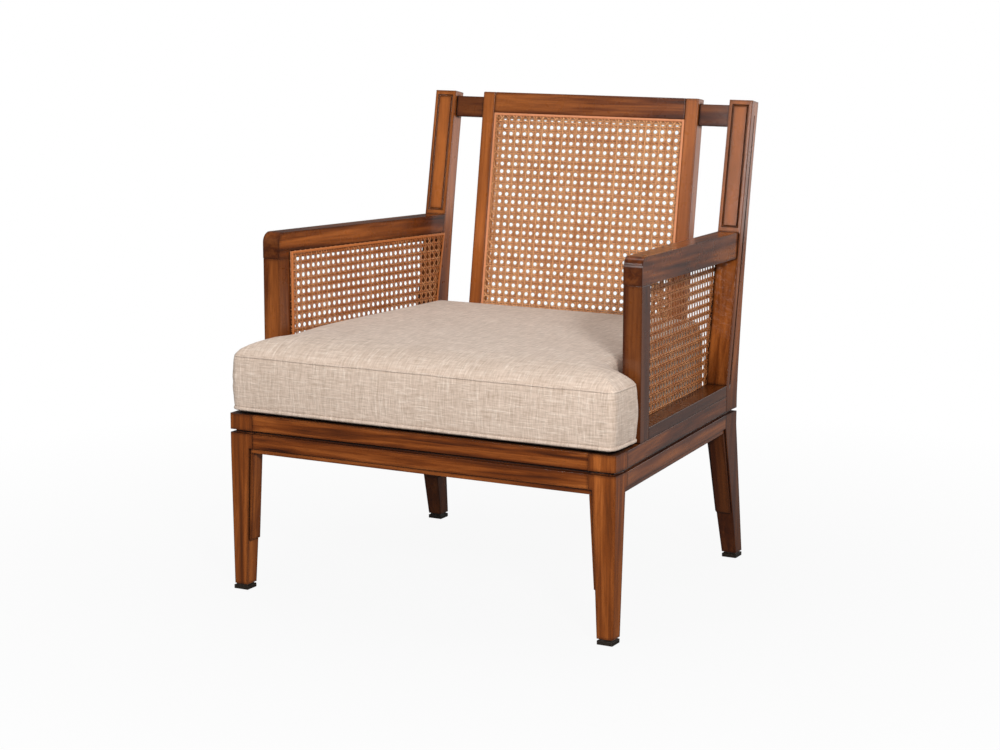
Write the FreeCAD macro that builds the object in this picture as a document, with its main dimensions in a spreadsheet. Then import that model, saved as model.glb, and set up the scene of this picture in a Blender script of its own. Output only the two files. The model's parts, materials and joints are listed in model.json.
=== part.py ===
"""Lounge chair with a loose T cushion: wooden frame, cane panels in the arms and the back.

The chair stands on Z = 0 and faces -Y. While the pieces are made, Y is measured back from the front rail's
face, and each finished piece is then moved forward by half of the chair's depth, so the origin ends up
under the middle of the chair. The right half is drawn, and the left pieces are its mirror images.
"""
import FreeCAD, Part
import math
import os
import re
import Sketcher

SIZES = [
    # the plan, which narrows to the rear
    ("front_width", 735.0, "across the front legs"),
    ("rear_width", 651.0, "across the rear legs"),
    ("rear_leg_setback", 552.0, "front rail's face to the rear leg's front"),
    # the seat frame, from its underside up
    ("rail_bottom", 253.5, "floor to the seat rails"),
    ("lower_band", 25.0, "rail below the shadow line"),
    ("shadow_line", 6.0, "height of the groove that runs round the frame"),
    ("upper_band", 27.5, "rail above the shadow line"),
    ("shadow_depth", 7.0, "depth of that groove"),
    ("rail_thickness", 32.0, "front and side rails"),
    ("rear_rail_thickness", 36.0, "rear rail, which also carries the back panel"),
    ("block_width", 47.0, "square head of a front leg"),
    ("tenon_length", 22.0, "rail tenon in a leg"),
    ("tenon_thickness", 10.0, "rail tenon"),
    ("tenon_shoulder", 9.0, "rail above and below its tenon"),
    # the legs
    ("leg_top_width", 40.0, "tapered leg under the rail"),
    ("foot_width", 28.0, "tapered leg at its foot"),
    ("foot_inset", 2.2, "outer faces of a front foot in from the frame"),
    ("rear_block_depth", 49.0, "rear leg at the seat, front to back"),
    ("rear_foot_kick", 60.0, "rear foot behind the leg's front at the seat"),
    ("glide_height", 7.0, "pad under each foot"),
    ("glide_neck", 3.0, "thin part above the pad"),
    ("glide_neck_inset", 3.0, "neck in from the pad's faces"),
    # the moulding that lines the frame's arches
    ("bead_height", 8.5, "strip under a rail"),
    ("trim_setback", 3.0, "strips in from the frame's faces"),
    ("liner_top", 7.0, "strip on a leg, thickness at the top"),
    ("liner_end", 4.0, "strip on a leg, thickness at its lower end"),
    ("liner_end_height", 89.0, "floor to the strip's lower end"),
    ("liner_depth", 29.0, "strip on a leg, across"),
    # the rear posts
    ("overall_height", 835.0, "floor to the top of the posts"),
    ("post_width", 44.0, "rear post across"),
    ("post_lean", 94.0, "post's top behind its foot"),
    ("post_top_depth", 30.0, "rear post at the top, front to back"),
    ("post_back_radius", 4900.0, "hollow of the post's rear edge"),
    ("post_field_border", 6.0, "plain edge beside the post's sunk line"),
    ("post_field_line", 4.0, "width of the sunk line"),
    ("post_field_sink", 2.5, "depth of the sunk line"),
    ("post_field_margin", 8.0, "sunk line's ends to the arm and the top"),
    ("post_flute_setback", 14.0, "front edge to the flute in the post's side"),
    ("post_flute_width", 3.0, "flute"),
    ("post_flute_sink", 2.0, "flute's depth"),
    # the arms
    ("arm_post_setback", 104.0, "front rail's face to the arm post"),
    ("arm_post_depth", 41.0, "front to back"),
    ("arm_post_width", 33.5, "across"),
    ("arm_front_top", 615.0, "floor to the arm's front"),
    ("arm_rear_top", 602.0, "floor to the arm at the post"),
    ("arm_height", 46.0, "arm rail, top to bottom"),
    ("arm_nose_radius", 18.0, "rounded front corner"),
    ("sill_height", 20.0, "rail above the seat rail, under the cane"),
    ("arm_tenon_width", 18.0, "arm and post tenons, across"),
    ("arm_tenon_depth", 24.0, "their other side"),
    ("arm_tenon_length", 18.0, "how far they go in"),
    # the back panel
    ("panel_gap", 60.25, "between the panel and a rear post"),
    ("panel_foot_offset", 15.5, "panel's foot behind the posts' feet"),
    ("panel_thickness", 25.5, "level, front to back"),
    ("stile_width", 25.5, "across"),
    ("top_rail_height", 38.0, "upper rail of the panel"),
    ("bottom_rail_height", 80.0, "lower rail, hidden by the cushion"),
    ("link_drop", 10.0, "panel's top to the link beside it"),
    ("link_height", 38.0, "link between panel and post"),
    ("link_thickness", 16.0, "front to back"),
    ("link_setback", 6.0, "link's face behind the panel's"),
    # the cane
    ("cane_thickness", 2.0, "woven sheet"),
    ("cane_lap", 12.0, "sheet over the arm's members"),
    ("cane_recess", 3.0, "sheet behind the panel's face"),
    ("spline_width", 4.5, "strip that holds the sheet's edge"),
    ("spline_thickness", 3.0, "the same strip"),
    ("net_pitch", 25.0, "spacing of the gaps, coarser than the weave"),
    ("net_gap", 15.0, "across one gap"),
    ("net_border", 12.0, "plain edge of the sheet"),
    # the seat
    ("slat_width", 84.0, "seat slat"),
    ("slat_edge", 15.5, "outermost slat in from the rear leg"),
    ("slat_thickness", 14.0, "seat slat"),
    ("cleat_width", 22.0, "ledge under the slats' ends"),
    ("cleat_height", 24.0, "the same ledge"),
    ("cleat_end", 1.5, "the same ledge's end to the leg"),
    ("corner_reach", 84.0, "corner block along the rails"),
    ("corner_height", 16.0, "corner block"),
    # the cushion
    ("cushion_clearance", 0.3, "between the cushion and the frame under it"),
    ("cushion_front_setback", 0.8, "behind the front rail's face"),
    ("cushion_side_setback", 3.0, "ears in from the frame's sides"),
    ("cushion_post_gap", 6.0, "cushion to the arm posts"),
    ("cushion_side_gap", 2.0, "cushion to the cane's strip"),
    ("cushion_back_gap", 2.0, "cushion to the back panel"),
    ("cushion_belly", 8.0, "underside bulging below its seam"),
    ("cushion_boxing", 93.0, "seam to seam"),
    ("cushion_crown", 34.0, "top above its seam"),
    ("cushion_draw", 3.0, "sides drawn in at the seams"),
    ("cushion_corner", 11.0, "radius of the outer corners"),
    ("cushion_notch", 9.0, "radius of the inner corners"),
    # the length by which a cutting shape runs past what it cuts
    ("overrun", 5.0, "past a cut face"),
]
NAMES = {name for name, value, note in SIZES}

doc = FreeCAD.newDocument("lounge_chair")
sheet = doc.addObject("Spreadsheet::Sheet", "Sizes")
for row, (name, value, note) in enumerate(SIZES, start=1):
    sheet.set("A%d" % row, str(value))
    sheet.setAlias("A%d" % row, name)
doc.recompute()


def size(name):
    return float(getattr(sheet, name))


def bound(text):
    """An expression in which each named size points at its cell of the sheet."""
    return re.sub(r"[a-z_]+", lambda word: ("Sizes." if word.group(0) in NAMES else "") + word.group(0), text)


# Lines and heights that several pieces share, as expressions of the named sizes
HALF = "(front_width / 2)"
REAR_HALF = "(rear_width / 2)"
RAIL_HEIGHT = "(lower_band + shadow_line + upper_band)"
RAIL_TOP = "(rail_bottom + lower_band + shadow_line + upper_band)"
SILL_TOP = "(%s + sill_height)" % RAIL_TOP
FOOT_TOP = "(glide_height + glide_neck)"
REAR_FACE = "(rear_leg_setback + rear_block_depth)"
REAR_RAIL_FRONT = "(%s - rear_rail_thickness)" % REAR_FACE
REAR_INNER = "(%s - post_width)" % REAR_HALF
POST_TOP = "(rear_leg_setback + post_lean)"
PANEL_FOOT = "(rear_leg_setback + panel_foot_offset)"
ARM_POST_BACK = "(arm_post_setback + arm_post_depth)"
POST_SLOPE = "(post_lean / (overall_height - %s))" % SILL_TOP
PANEL_SLOPE = "((post_lean - panel_foot_offset) / (overall_height - %s))" % RAIL_TOP
PANEL_HALF = "(%s - panel_gap)" % REAR_INNER
DEPTH = "(%s + post_top_depth / (1 + %s ^ 2))" % (POST_TOP, POST_SLOPE)


def outer(y):
    """X of the frame's outer side at a distance back: it runs straight from leg to leg."""
    share = "((%s) - block_width) / (rear_leg_setback - block_width)" % y
    return "(%s - (%s - %s) * %s)" % (HALF, HALF, REAR_HALF, share)


def post_front(z):
    """How far back the rear post's leaning front face is at a height above the sill."""
    return "(rear_leg_setback + %s * ((%s) - %s))" % (POST_SLOPE, z, SILL_TOP)


ARM_REACH = post_front("arm_rear_top")
ARM_SLOPE = "((arm_rear_top - arm_front_top) / (%s - arm_post_setback))" % ARM_REACH


def inner(y):
    """X of the arm's inner side: from the arm post's inner face to the rear post's, where the arm meets it."""
    front = "(%s - arm_post_width)" % outer("arm_post_setback")
    share = "(((%s) - arm_post_setback) / (%s - arm_post_setback))" % (y, ARM_REACH)
    return "(%s + (%s - %s) * %s)" % (front, REAR_INNER, front, share)


def arm_top(y):
    return "(arm_front_top + %s * ((%s) - arm_post_setback))" % (ARM_SLOPE, y)


def panel_front(z):
    return "(%s + %s * ((%s) - %s))" % (PANEL_FOOT, PANEL_SLOPE, z, RAIL_TOP)


def squared(y, z, thickness, slope):
    """The rear corner behind (y, z), square to a face of that slope, for a level thickness."""
    return ("(%s) + (%s) / (1 + %s ^ 2)" % (y, thickness, slope),
            "(%s) - (%s) * %s / (1 + %s ^ 2)" % (z, thickness, slope, slope))


def along(z, top, foot):
    """A leg's face at a height, between its place under the rail and its place at the foot."""
    share = "((%s) - %s) / (rail_bottom - %s)" % (z, FOOT_TOP, FOOT_TOP)
    return "((%s) + ((%s) - (%s)) * %s)" % (foot, top, foot, share)


def box_corners(x0, x1, y0, y1):
    return [(x0, y0), (x1, y0), (x1, y1), (x0, y1)]


# The same lines as numbers, for the shapes that are worked out directly
half = size("front_width") / 2
rear_half = size("rear_width") / 2
rail_top = size("rail_bottom") + size("lower_band") + size("shadow_line") + size("upper_band")
sill_top = rail_top + size("sill_height")
post_top = size("rear_leg_setback") + size("post_lean")
panel_foot = size("rear_leg_setback") + size("panel_foot_offset")
post_slope = size("post_lean") / (size("overall_height") - sill_top)
panel_slope = (post_top - panel_foot) / (size("overall_height") - rail_top)
arm_reach = size("rear_leg_setback") + post_slope * (size("arm_rear_top") - sill_top)
arm_slope = (size("arm_rear_top") - size("arm_front_top")) / (arm_reach - size("arm_post_setback"))
depth = post_top + size("post_top_depth") / (1 + post_slope ** 2)


def hollow_arc(start, end, radius):
    """An arc from end to start that bends to the left of the line from start to end."""
    chord = end - start
    right = FreeCAD.Vector(chord.y, -chord.x, 0).normalize()
    centre = (start + end) * 0.5 + right * math.sqrt(radius ** 2 - (chord.Length / 2) ** 2)
    first = math.atan2(end.y - centre.y, end.x - centre.x) % (2 * math.pi)
    last = math.atan2(start.y - centre.y, start.x - centre.x) % (2 * math.pi)
    return Part.ArcOfCircle(Part.Circle(centre, FreeCAD.Vector(0, 0, 1), radius), first, last)


def outline(body, role, name, corners, lift, start=None, hollow=None):
    """A closed sketch whose corners are tied to expressions.

    Its sides are straight, except that a hollow one, given as its number and the name of its radius, is an
    arc. Such a sketch is drawn first at the places given in start, so that its arc is found the right way.
    """
    sketch = body.newObject("Sketcher::SketchObject", name)
    plane = [f for f in body.Origin.OriginFeatures if f.Role == role][0]
    sketch.AttachmentSupport = [(plane, "")]
    sketch.MapMode = "FlatFace"
    if lift != "0":
        sketch.setExpression("AttachmentOffset.Base.z", bound(lift))
    count = len(corners)
    if start is None:
        turn = 2 * math.pi / count
        start = [(size("front_width") * math.cos(turn * i), size("front_width") * math.sin(turn * i))
                 for i in range(count)]
    points = [FreeCAD.Vector(x, y, 0) for x, y in start]
    ends = []
    for i in range(count):
        following = points[(i + 1) % count]
        if hollow and i == hollow[0]:
            sketch.addGeometry(hollow_arc(points[i], following, size(hollow[1])), False)
            ends.append((2, 1))
        else:
            sketch.addGeometry(Part.LineSegment(points[i], following), False)
            ends.append((1, 2))
    for i in range(count):
        after = (i + 1) % count
        sketch.addConstraint(Sketcher.Constraint("Coincident", i, ends[i][1], after, ends[after][0]))
    for i, (across, up) in enumerate(corners):
        for kind, axis, value, now in (("DistanceX", -2, across, points[i].x),
                                       ("DistanceY", -1, up, points[i].y)):
            if value == "0":
                sketch.addConstraint(Sketcher.Constraint("PointOnObject", i, ends[i][0], axis))
            else:
                number = sketch.addConstraint(Sketcher.Constraint(kind, -1, 1, i, ends[i][0], now))
                sketch.setExpression("Constraints[%d]" % number, bound(value))
    if hollow:
        number = sketch.addConstraint(Sketcher.Constraint("Radius", hollow[0], size(hollow[1])))
        sketch.setExpression("Constraints[%d]" % number, bound(hollow[1]))
    return sketch


def new_body(label):
    body = doc.addObject("PartDesign::Body", label)
    body.Label = label
    return body


def slab(body, name, corners, bottom, height):
    """Adds an upright prism on a plan outline."""
    pad = body.newObject("PartDesign::Pad", name)
    pad.Profile = outline(body, "XY_Plane", name + "_outline", corners, bottom)
    pad.setExpression("Length", bound(height))
    return pad


def profile(body, name, corners, from_x, width, start=None, hollow=None):
    """Adds a prism across the chair on a side outline of (back, up) corners."""
    pad = body.newObject("PartDesign::Pad", name)
    pad.Profile = outline(body, "YZ_Plane", name + "_outline", corners, from_x, start, hollow)
    pad.setExpression("Length", bound(width))
    return pad


def taper(body, name, top, top_height, foot, foot_height):
    """Adds a straight taper between two level rectangles."""
    loft = body.newObject("PartDesign::AdditiveLoft", name)
    loft.Profile = outline(body, "XY_Plane", name + "_top", box_corners(*top), top_height)
    loft.Sections = [outline(body, "XY_Plane", name + "_foot", box_corners(*foot), foot_height)]
    loft.Ruled = True
    return loft


def slab_body(label, corners, bottom, height):
    body = new_body(label)
    slab(body, label + "_pad", corners, bottom, height)
    return body


def profile_body(label, corners, from_x, width):
    body = new_body(label)
    profile(body, label + "_pad", corners, from_x, width)
    return body


def taper_body(label, top, top_height, foot, foot_height):
    body = new_body(label)
    taper(body, label + "_taper", top, top_height, foot, foot_height)
    return body


def box(label, x, y, z, length, width, height, lean=None):
    """A block with its corner at (x, y, z), leaning back by an angle if one is given."""
    made = doc.addObject("Part::Box", label)
    for cell, text in (("Length", length), ("Width", width), ("Height", height)):
        made.setExpression(cell, bound(text))
    if lean:
        made.Placement = FreeCAD.Placement(FreeCAD.Vector(), FreeCAD.Rotation(FreeCAD.Vector(-1, 0, 0), 1))
        made.setExpression("Placement.Rotation.Angle", bound(lean))
    for axis, text in (("x", x), ("y", y), ("z", z)):
        made.setExpression("Placement.Base." + axis, bound(text))
    return made


def joined(kind, label, base, tool):
    """A boolean of two shapes: kind is Cut, Fuse or Common."""
    made = doc.addObject("Part::" + kind, label)
    made.Base = base
    made.Tool = tool
    made.Refine = True
    return made


nodes = {}


def finish(label, made):
    """Names a finished piece and puts it in the chair's own frame."""
    made.Label = label
    made.setExpression("Placement.Base.y", bound("-%s / 2" % DEPTH))
    nodes[label] = made
    return made


def mirrored(label, right):
    """The mirror image of a right piece, on the left."""
    left = doc.addObject("Part::Mirroring", label + "_left")
    left.Source = right
    left.Normal = FreeCAD.Vector(1, 0, 0)
    left.Label = label + "_left"
    nodes[left.Label] = left


def both_sides(label, made):
    mirrored(label, finish(label + "_right", made))


# Tenons of the seat rails, which are cut out of the legs they enter
TENON_BOTTOM = "rail_bottom + tenon_shoulder"
TENON_HEIGHT = "%s - 2 * tenon_shoulder" % RAIL_HEIGHT
TENON_INSET = "(rail_thickness - tenon_thickness) / 2"
BLOCK_INNER = "(%s - block_width)" % HALF
REAR_TENON_Y = "(%s - (rear_rail_thickness + tenon_thickness) / 2)" % REAR_FACE


def rail_tenon(label, corners):
    return slab_body(label, corners, TENON_BOTTOM, TENON_HEIGHT)


def side_tenon(label, y0, y1):
    near = "%s - %s" % (outer(y0), TENON_INSET)
    far = "%s - %s" % (outer(y1), TENON_INSET)
    return rail_tenon(label, [(near, y0), (far, y1), (far + " - tenon_thickness", y1),
                              (near + " - tenon_thickness", y0)])


def cross_tenon(label, shoulder, y):
    return rail_tenon(label, box_corners("%s - tenon_length" % shoulder, "%s + tenon_length" % shoulder,
                                         y, y + " + tenon_thickness"))


front_tenon = cross_tenon("front_tenon", BLOCK_INNER, TENON_INSET)
rear_tenon = cross_tenon("rear_tenon", REAR_INNER, REAR_TENON_Y)
side_front_tenon = side_tenon("side_front_tenon", "block_width - tenon_length", "block_width + tenon_length")
side_rear_tenon = side_tenon("side_rear_tenon", "rear_leg_setback - tenon_length",
                             "rear_leg_setback + tenon_length")


def banded(label, corners, waist):
    """A member of the seat frame: two bands with the shadow line's waist between them."""
    body = new_body(label)
    slab(body, label + "_lower", corners, "rail_bottom", "lower_band")
    slab(body, label + "_waist", waist, "rail_bottom + lower_band", "shadow_line")
    slab(body, label + "_upper", corners, "rail_bottom + lower_band + shadow_line", "upper_band")
    return body


# Front legs: a square head in the frame's corner over a tapered leg
FRONT_FOOT = ("%s - foot_inset - foot_width" % HALF, "%s - foot_inset" % HALF,
              "foot_inset", "foot_inset + foot_width")
FRONT_HEAD = ("%s - leg_top_width" % HALF, HALF, "0", "leg_top_width")
front_leg = banded("front_leg_head", box_corners(BLOCK_INNER, HALF, "0", "block_width"),
                   box_corners(BLOCK_INNER, "%s - shadow_depth" % HALF, "shadow_depth", "block_width"))
taper(front_leg, "front_leg_taper", FRONT_HEAD, "rail_bottom", FRONT_FOOT, FOOT_TOP)
front_leg = joined("Cut", "front_leg_mortise", front_leg, front_tenon)
front_leg = joined("Cut", "front_leg_cut", front_leg, side_front_tenon)
both_sides("front_leg", front_leg)

# Rear legs, which carry on upward as the back's leaning posts
REAR_FOOT = ("%s - foot_width" % REAR_HALF, REAR_HALF,
             "rear_leg_setback + rear_foot_kick", "rear_leg_setback + rear_foot_kick + foot_width")
REAR_HEAD = ("%s - leg_top_width" % REAR_HALF, REAR_HALF, "rear_leg_setback", REAR_FACE)
SHADOW_TOP = "(rail_bottom + lower_band + shadow_line)"
rear_leg = new_body("rear_leg_body")
slab(rear_leg, "rear_leg_lower", box_corners(REAR_INNER, REAR_HALF, "rear_leg_setback", REAR_FACE),
     "rail_bottom", "lower_band")
slab(rear_leg, "rear_leg_waist",
     box_corners(REAR_INNER, "%s - shadow_depth" % REAR_HALF, "rear_leg_setback", "%s - shadow_depth" % REAR_FACE),
     "rail_bottom + lower_band", "shadow_line")
POST_TOP_BACK = squared(POST_TOP, "overall_height", "post_top_depth", POST_SLOPE)
setback = size("rear_leg_setback")
back_face = setback + size("rear_block_depth")
shadow_top = rail_top - size("upper_band")
square = 1 + post_slope ** 2
profile(rear_leg, "rear_post_pad",
        [("rear_leg_setback", SHADOW_TOP), (REAR_FACE, SHADOW_TOP), (REAR_FACE, RAIL_TOP), POST_TOP_BACK,
         (POST_TOP, "overall_height"), ("rear_leg_setback", SILL_TOP)], REAR_INNER, "post_width",
        start=[(setback, shadow_top), (back_face, shadow_top), (back_face, rail_top),
               (post_top + size("post_top_depth") / square,
                size("overall_height") - size("post_top_depth") * post_slope / square),
               (post_top, size("overall_height")), (setback, sill_top)],
        hollow=(2, "post_back_radius"))
taper(rear_leg, "rear_leg_taper", REAR_HEAD, "rail_bottom", REAR_FOOT, FOOT_TOP)

LEAN = "atan(%s)" % POST_SLOPE
FIELD_BOTTOM = "(arm_rear_top + post_field_margin)"
FIELD_LENGTH = "((overall_height - arm_rear_top) / cos(%s) - 2 * post_field_margin)" % LEAN


def field_block(label, step, out):
    """A block over the post's front face, in from the field's edge by a step and reaching out from the face."""
    return box(label, "%s + post_field_border + %s" % (REAR_INNER, step),
               "%s - %s * cos(%s) + %s * sin(%s)" % (post_front(FIELD_BOTTOM), out, LEAN, step, LEAN),
               "%s + %s * sin(%s) + %s * cos(%s)" % (FIELD_BOTTOM, out, LEAN, step, LEAN),
               "post_width - 2 * (post_field_border + %s)" % step, "%s + post_field_sink" % out,
               "%s - 2 * %s" % (FIELD_LENGTH, step), LEAN)


field_line = joined("Cut", "field_line", field_block("field_outer", "0", "overrun"),
                    field_block("field_inner", "post_field_line", "(2 * overrun)"))
flute = box("post_flute", "%s - post_flute_sink" % REAR_HALF, "rear_leg_setback + post_flute_setback",
            SILL_TOP, "post_flute_sink + overrun", "post_flute_width",
            "(overall_height - %s) / cos(%s) - 2 * post_flute_setback" % (SILL_TOP, LEAN), LEAN)
ARM_TENON_X = "(%s - (post_width + arm_tenon_width) / 2)" % REAR_HALF
ARM_TENON_Z = "(arm_rear_top - (arm_height + arm_tenon_depth) / 2)"
arm_tenon = box("arm_tenon", ARM_TENON_X, "%s - 2 * arm_tenon_length" % ARM_REACH, ARM_TENON_Z,
                "arm_tenon_width", "3 * arm_tenon_length", "arm_tenon_depth")
post = joined("Cut", "rear_leg_field", rear_leg, field_line)
post = joined("Cut", "rear_leg_flute", post, flute)
post = joined("Cut", "rear_leg_rear_mortise", post, rear_tenon)
post = joined("Cut", "rear_leg_side_mortise", post, side_rear_tenon)
post = joined("Cut", "rear_leg_arm_mortise", post, arm_tenon)
both_sides("rear_leg", post)

# Pads under the feet
for label, (x0, x1, y0, y1) in (("front_glide", FRONT_FOOT), ("rear_glide", REAR_FOOT)):
    glide = new_body(label + "_body")
    slab(glide, label + "_pad", box_corners(x0, x1, y0, y1), "0", "glide_height")
    slab(glide, label + "_neck", box_corners(x0 + " + glide_neck_inset", x1 + " - glide_neck_inset",
                                             y0 + " + glide_neck_inset", y1 + " - glide_neck_inset"),
         "glide_height", "glide_neck")
    both_sides(label, glide)

# Seat rails
front_rail = banded("front_rail_bands", box_corners("-" + BLOCK_INNER, BLOCK_INNER, "0", "rail_thickness"),
                    box_corners("-" + BLOCK_INNER, BLOCK_INNER, "shadow_depth", "rail_thickness"))
rear_rail = banded("rear_rail_bands", box_corners("-" + REAR_INNER, REAR_INNER, REAR_RAIL_FRONT, REAR_FACE),
                   box_corners("-" + REAR_INNER, REAR_INNER, REAR_RAIL_FRONT, "%s - shadow_depth" % REAR_FACE))
for label, rail, tenon in (("front_rail", front_rail, front_tenon), ("rear_rail", rear_rail, rear_tenon)):
    twin = doc.addObject("Part::Mirroring", label + "_left_tenon")
    twin.Source = tenon
    twin.Normal = FreeCAD.Vector(1, 0, 0)
    rail = joined("Fuse", label + "_one_tenon", rail, tenon)
    finish(label, joined("Fuse", label + "_tenons", rail, twin))


def side_strip(y0, y1, near, far):
    """Plan corners between two lines that run along the frame's side, given as X in from its outer face."""
    return [("%s - %s" % (outer(y0), near), y0), ("%s - %s" % (outer(y1), near), y1),
            ("%s - %s" % (outer(y1), far), y1), ("%s - %s" % (outer(y0), far), y0)]


def arm_strip(y0, y1):
    """Plan corners across the arm, from the frame's outer side to the arm's inner side."""
    return [(outer(y0), y0), (outer(y1), y1), (inner(y1), y1), (inner(y0), y0)]


side_rail = banded("side_rail_bands", side_strip("block_width", "rear_leg_setback", "0", "rail_thickness"),
                   side_strip("block_width", "rear_leg_setback", "shadow_depth", "rail_thickness"))
side_rail = joined("Fuse", "side_rail_front_tenon", side_rail, side_front_tenon)
side_rail = joined("Fuse", "side_rail_rear_tenon", side_rail, side_rear_tenon)
POST_TENON_X = "(%s - (arm_post_width + arm_tenon_width) / 2)" % outer(ARM_POST_BACK)
POST_TENON_Y = "(arm_post_setback + (arm_post_depth - arm_tenon_depth) / 2)"
foot_tenon = box("arm_post_foot_tenon", POST_TENON_X, POST_TENON_Y, "%s - arm_tenon_length" % RAIL_TOP,
                 "arm_tenon_width", "arm_tenon_depth", "2 * arm_tenon_length")
side_rail = joined("Cut", "side_rail_mortise", side_rail, foot_tenon)
both_sides("side_rail", side_rail)

# Strips that line the arches: one under each rail and two on each leg
BEAD_BOTTOM = "(rail_bottom - bead_height)"
BEAD_END = "(%s - leg_top_width)" % HALF
REAR_BEAD_END = "(%s - leg_top_width)" % REAR_HALF
front_bead = box_corners("-" + BEAD_END, BEAD_END, "trim_setback", "rail_thickness")
rear_bead = box_corners("-" + REAR_BEAD_END, REAR_BEAD_END, REAR_RAIL_FRONT, "%s - trim_setback" % REAR_FACE)
side_bead = side_strip("leg_top_width", "rear_leg_setback", "trim_setback", "rail_thickness")
finish("front_bead", slab_body("front_bead_body", front_bead, BEAD_BOTTOM, "bead_height"))
finish("rear_bead", slab_body("rear_bead_body", rear_bead, BEAD_BOTTOM, "bead_height"))
both_sides("side_bead", slab_body("side_bead_body", side_bead, BEAD_BOTTOM, "bead_height"))


def liner(label, head, foot, face):
    """A strip on one of a leg's inner faces, which is its low X, its high Y or its low Y side."""
    top = [along(BEAD_BOTTOM, a, b) for a, b in zip(head, foot)]
    end = [along("liner_end_height", a, b) for a, b in zip(head, foot)]
    sections = []
    for (x0, x1, y0, y1), thick in ((top, "liner_top"), (end, "liner_end")):
        if face == "low x":
            start = y0 + " + trim_setback" if foot is FRONT_FOOT else y1 + " - trim_setback - liner_depth"
            sections.append(("%s - %s" % (x0, thick), x0, start, start + " + liner_depth"))
        elif face == "high y":
            start = x1 + " - trim_setback - liner_depth"
            sections.append((start, start + " + liner_depth", y1, "%s + %s" % (y1, thick)))
        else:
            start = x1 + " - trim_setback - liner_depth"
            sections.append((start, start + " + liner_depth", "%s - %s" % (y0, thick), y0))
    both_sides(label, taper_body(label + "_body", sections[0], BEAD_BOTTOM, sections[1], "liner_end_height"))


liner("front_leg_cross_liner", FRONT_HEAD, FRONT_FOOT, "low x")
liner("front_leg_side_liner", FRONT_HEAD, FRONT_FOOT, "high y")
liner("rear_leg_cross_liner", REAR_HEAD, REAR_FOOT, "low x")
liner("rear_leg_side_liner", REAR_HEAD, REAR_FOOT, "low y")

# Arms: a post on the side rail, a sill along the rail's top, and the arm rail over both
FAR = "(%s + post_top_depth)" % POST_TOP
arm_side = profile_body("arm_side", [("arm_post_setback", arm_top("arm_post_setback") + " - arm_height"),
                                     (FAR, arm_top(FAR) + " - arm_height"), (FAR, arm_top(FAR)),
                                     ("arm_post_setback", "arm_front_top")], "0", HALF)
doc.recompute()
arm_pad = arm_side.Tip
corners = [(edge.CenterOfMass.z - edge.CenterOfMass.y, number)
           for number, edge in enumerate(arm_pad.Shape.Edges, start=1)
           if abs(edge.Vertexes[0].Z - edge.Vertexes[-1].Z) < edge.Length / 2
           and abs(edge.Vertexes[0].Y - edge.Vertexes[-1].Y) < edge.Length / 2]
nose = arm_side.newObject("PartDesign::Fillet", "arm_nose")
nose.Base = (arm_pad, ["Edge%d" % max(corners)[1]])
nose.setExpression("Radius", bound("arm_nose_radius"))
arm_side.Tip = nose
arm_plan = slab_body("arm_plan", arm_strip("arm_post_setback", ARM_REACH), "arm_rear_top - 2 * arm_height",
                     "arm_front_top - arm_rear_top + 3 * arm_height")
arm = joined("Common", "arm_both", arm_plan, arm_side)
arm = joined("Cut", "arm_butt", arm, rear_leg)
head_tenon = box("arm_post_head_tenon", POST_TENON_X, POST_TENON_Y,
                 "%s - arm_height - arm_tenon_length" % arm_top(ARM_POST_BACK),
                 "arm_tenon_width", "arm_tenon_depth", "2 * arm_tenon_length")
arm = joined("Fuse", "arm_with_tenon", arm, arm_tenon)
arm = joined("Cut", "arm_mortise", arm, head_tenon)
both_sides("arm_rail", arm)

post_side = profile_body("arm_post_side", [("arm_post_setback", RAIL_TOP), (ARM_POST_BACK, RAIL_TOP),
                                           (ARM_POST_BACK, arm_top(ARM_POST_BACK) + " - arm_height"),
                                           ("arm_post_setback", "arm_front_top - arm_height")], "0", HALF)
post_plan = slab_body("arm_post_plan", arm_strip("arm_post_setback", ARM_POST_BACK), RAIL_TOP, "arm_front_top")
arm_post = joined("Common", "arm_post_both", post_plan, post_side)
arm_post = joined("Fuse", "arm_post_foot", arm_post, foot_tenon)
both_sides("arm_post", joined("Fuse", "arm_post_head", arm_post, head_tenon))
both_sides("arm_sill", slab_body("arm_sill_body", arm_strip(ARM_POST_BACK, "rear_leg_setback"), RAIL_TOP,
                                 "sill_height"))

# Back panel: two stiles and two rails that lean back, and links to the posts
stile = [(PANEL_FOOT, RAIL_TOP), (PANEL_FOOT + " + panel_thickness", RAIL_TOP),
         squared(POST_TOP, "overall_height", "panel_thickness", PANEL_SLOPE), (POST_TOP, "overall_height")]
OPENING_HALF = "(%s - stile_width)" % PANEL_HALF
both_sides("back_stile", profile_body("back_stile_body", stile, OPENING_HALF, "stile_width"))
OPENING_TOP = "(overall_height - top_rail_height)"
OPENING_BOTTOM = "(%s + bottom_rail_height)" % RAIL_TOP
finish("back_top_rail", profile_body("back_top_rail_body", [
    (panel_front(OPENING_TOP), OPENING_TOP),
    squared(panel_front(OPENING_TOP), OPENING_TOP, "panel_thickness", PANEL_SLOPE),
    squared(POST_TOP, "overall_height", "panel_thickness", PANEL_SLOPE),
    (POST_TOP, "overall_height")], "-" + OPENING_HALF, "2 * " + OPENING_HALF))
finish("back_bottom_rail", profile_body("back_bottom_rail_body", [
    (PANEL_FOOT, RAIL_TOP), (PANEL_FOOT + " + panel_thickness", RAIL_TOP),
    squared(panel_front(OPENING_BOTTOM), OPENING_BOTTOM, "panel_thickness", PANEL_SLOPE),
    (panel_front(OPENING_BOTTOM), OPENING_BOTTOM)], "-" + OPENING_HALF, "2 * " + OPENING_HALF))
LINK_TOP = "(overall_height - link_drop)"
LINK_BOTTOM = "(overall_height - link_drop - link_height)"
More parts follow.
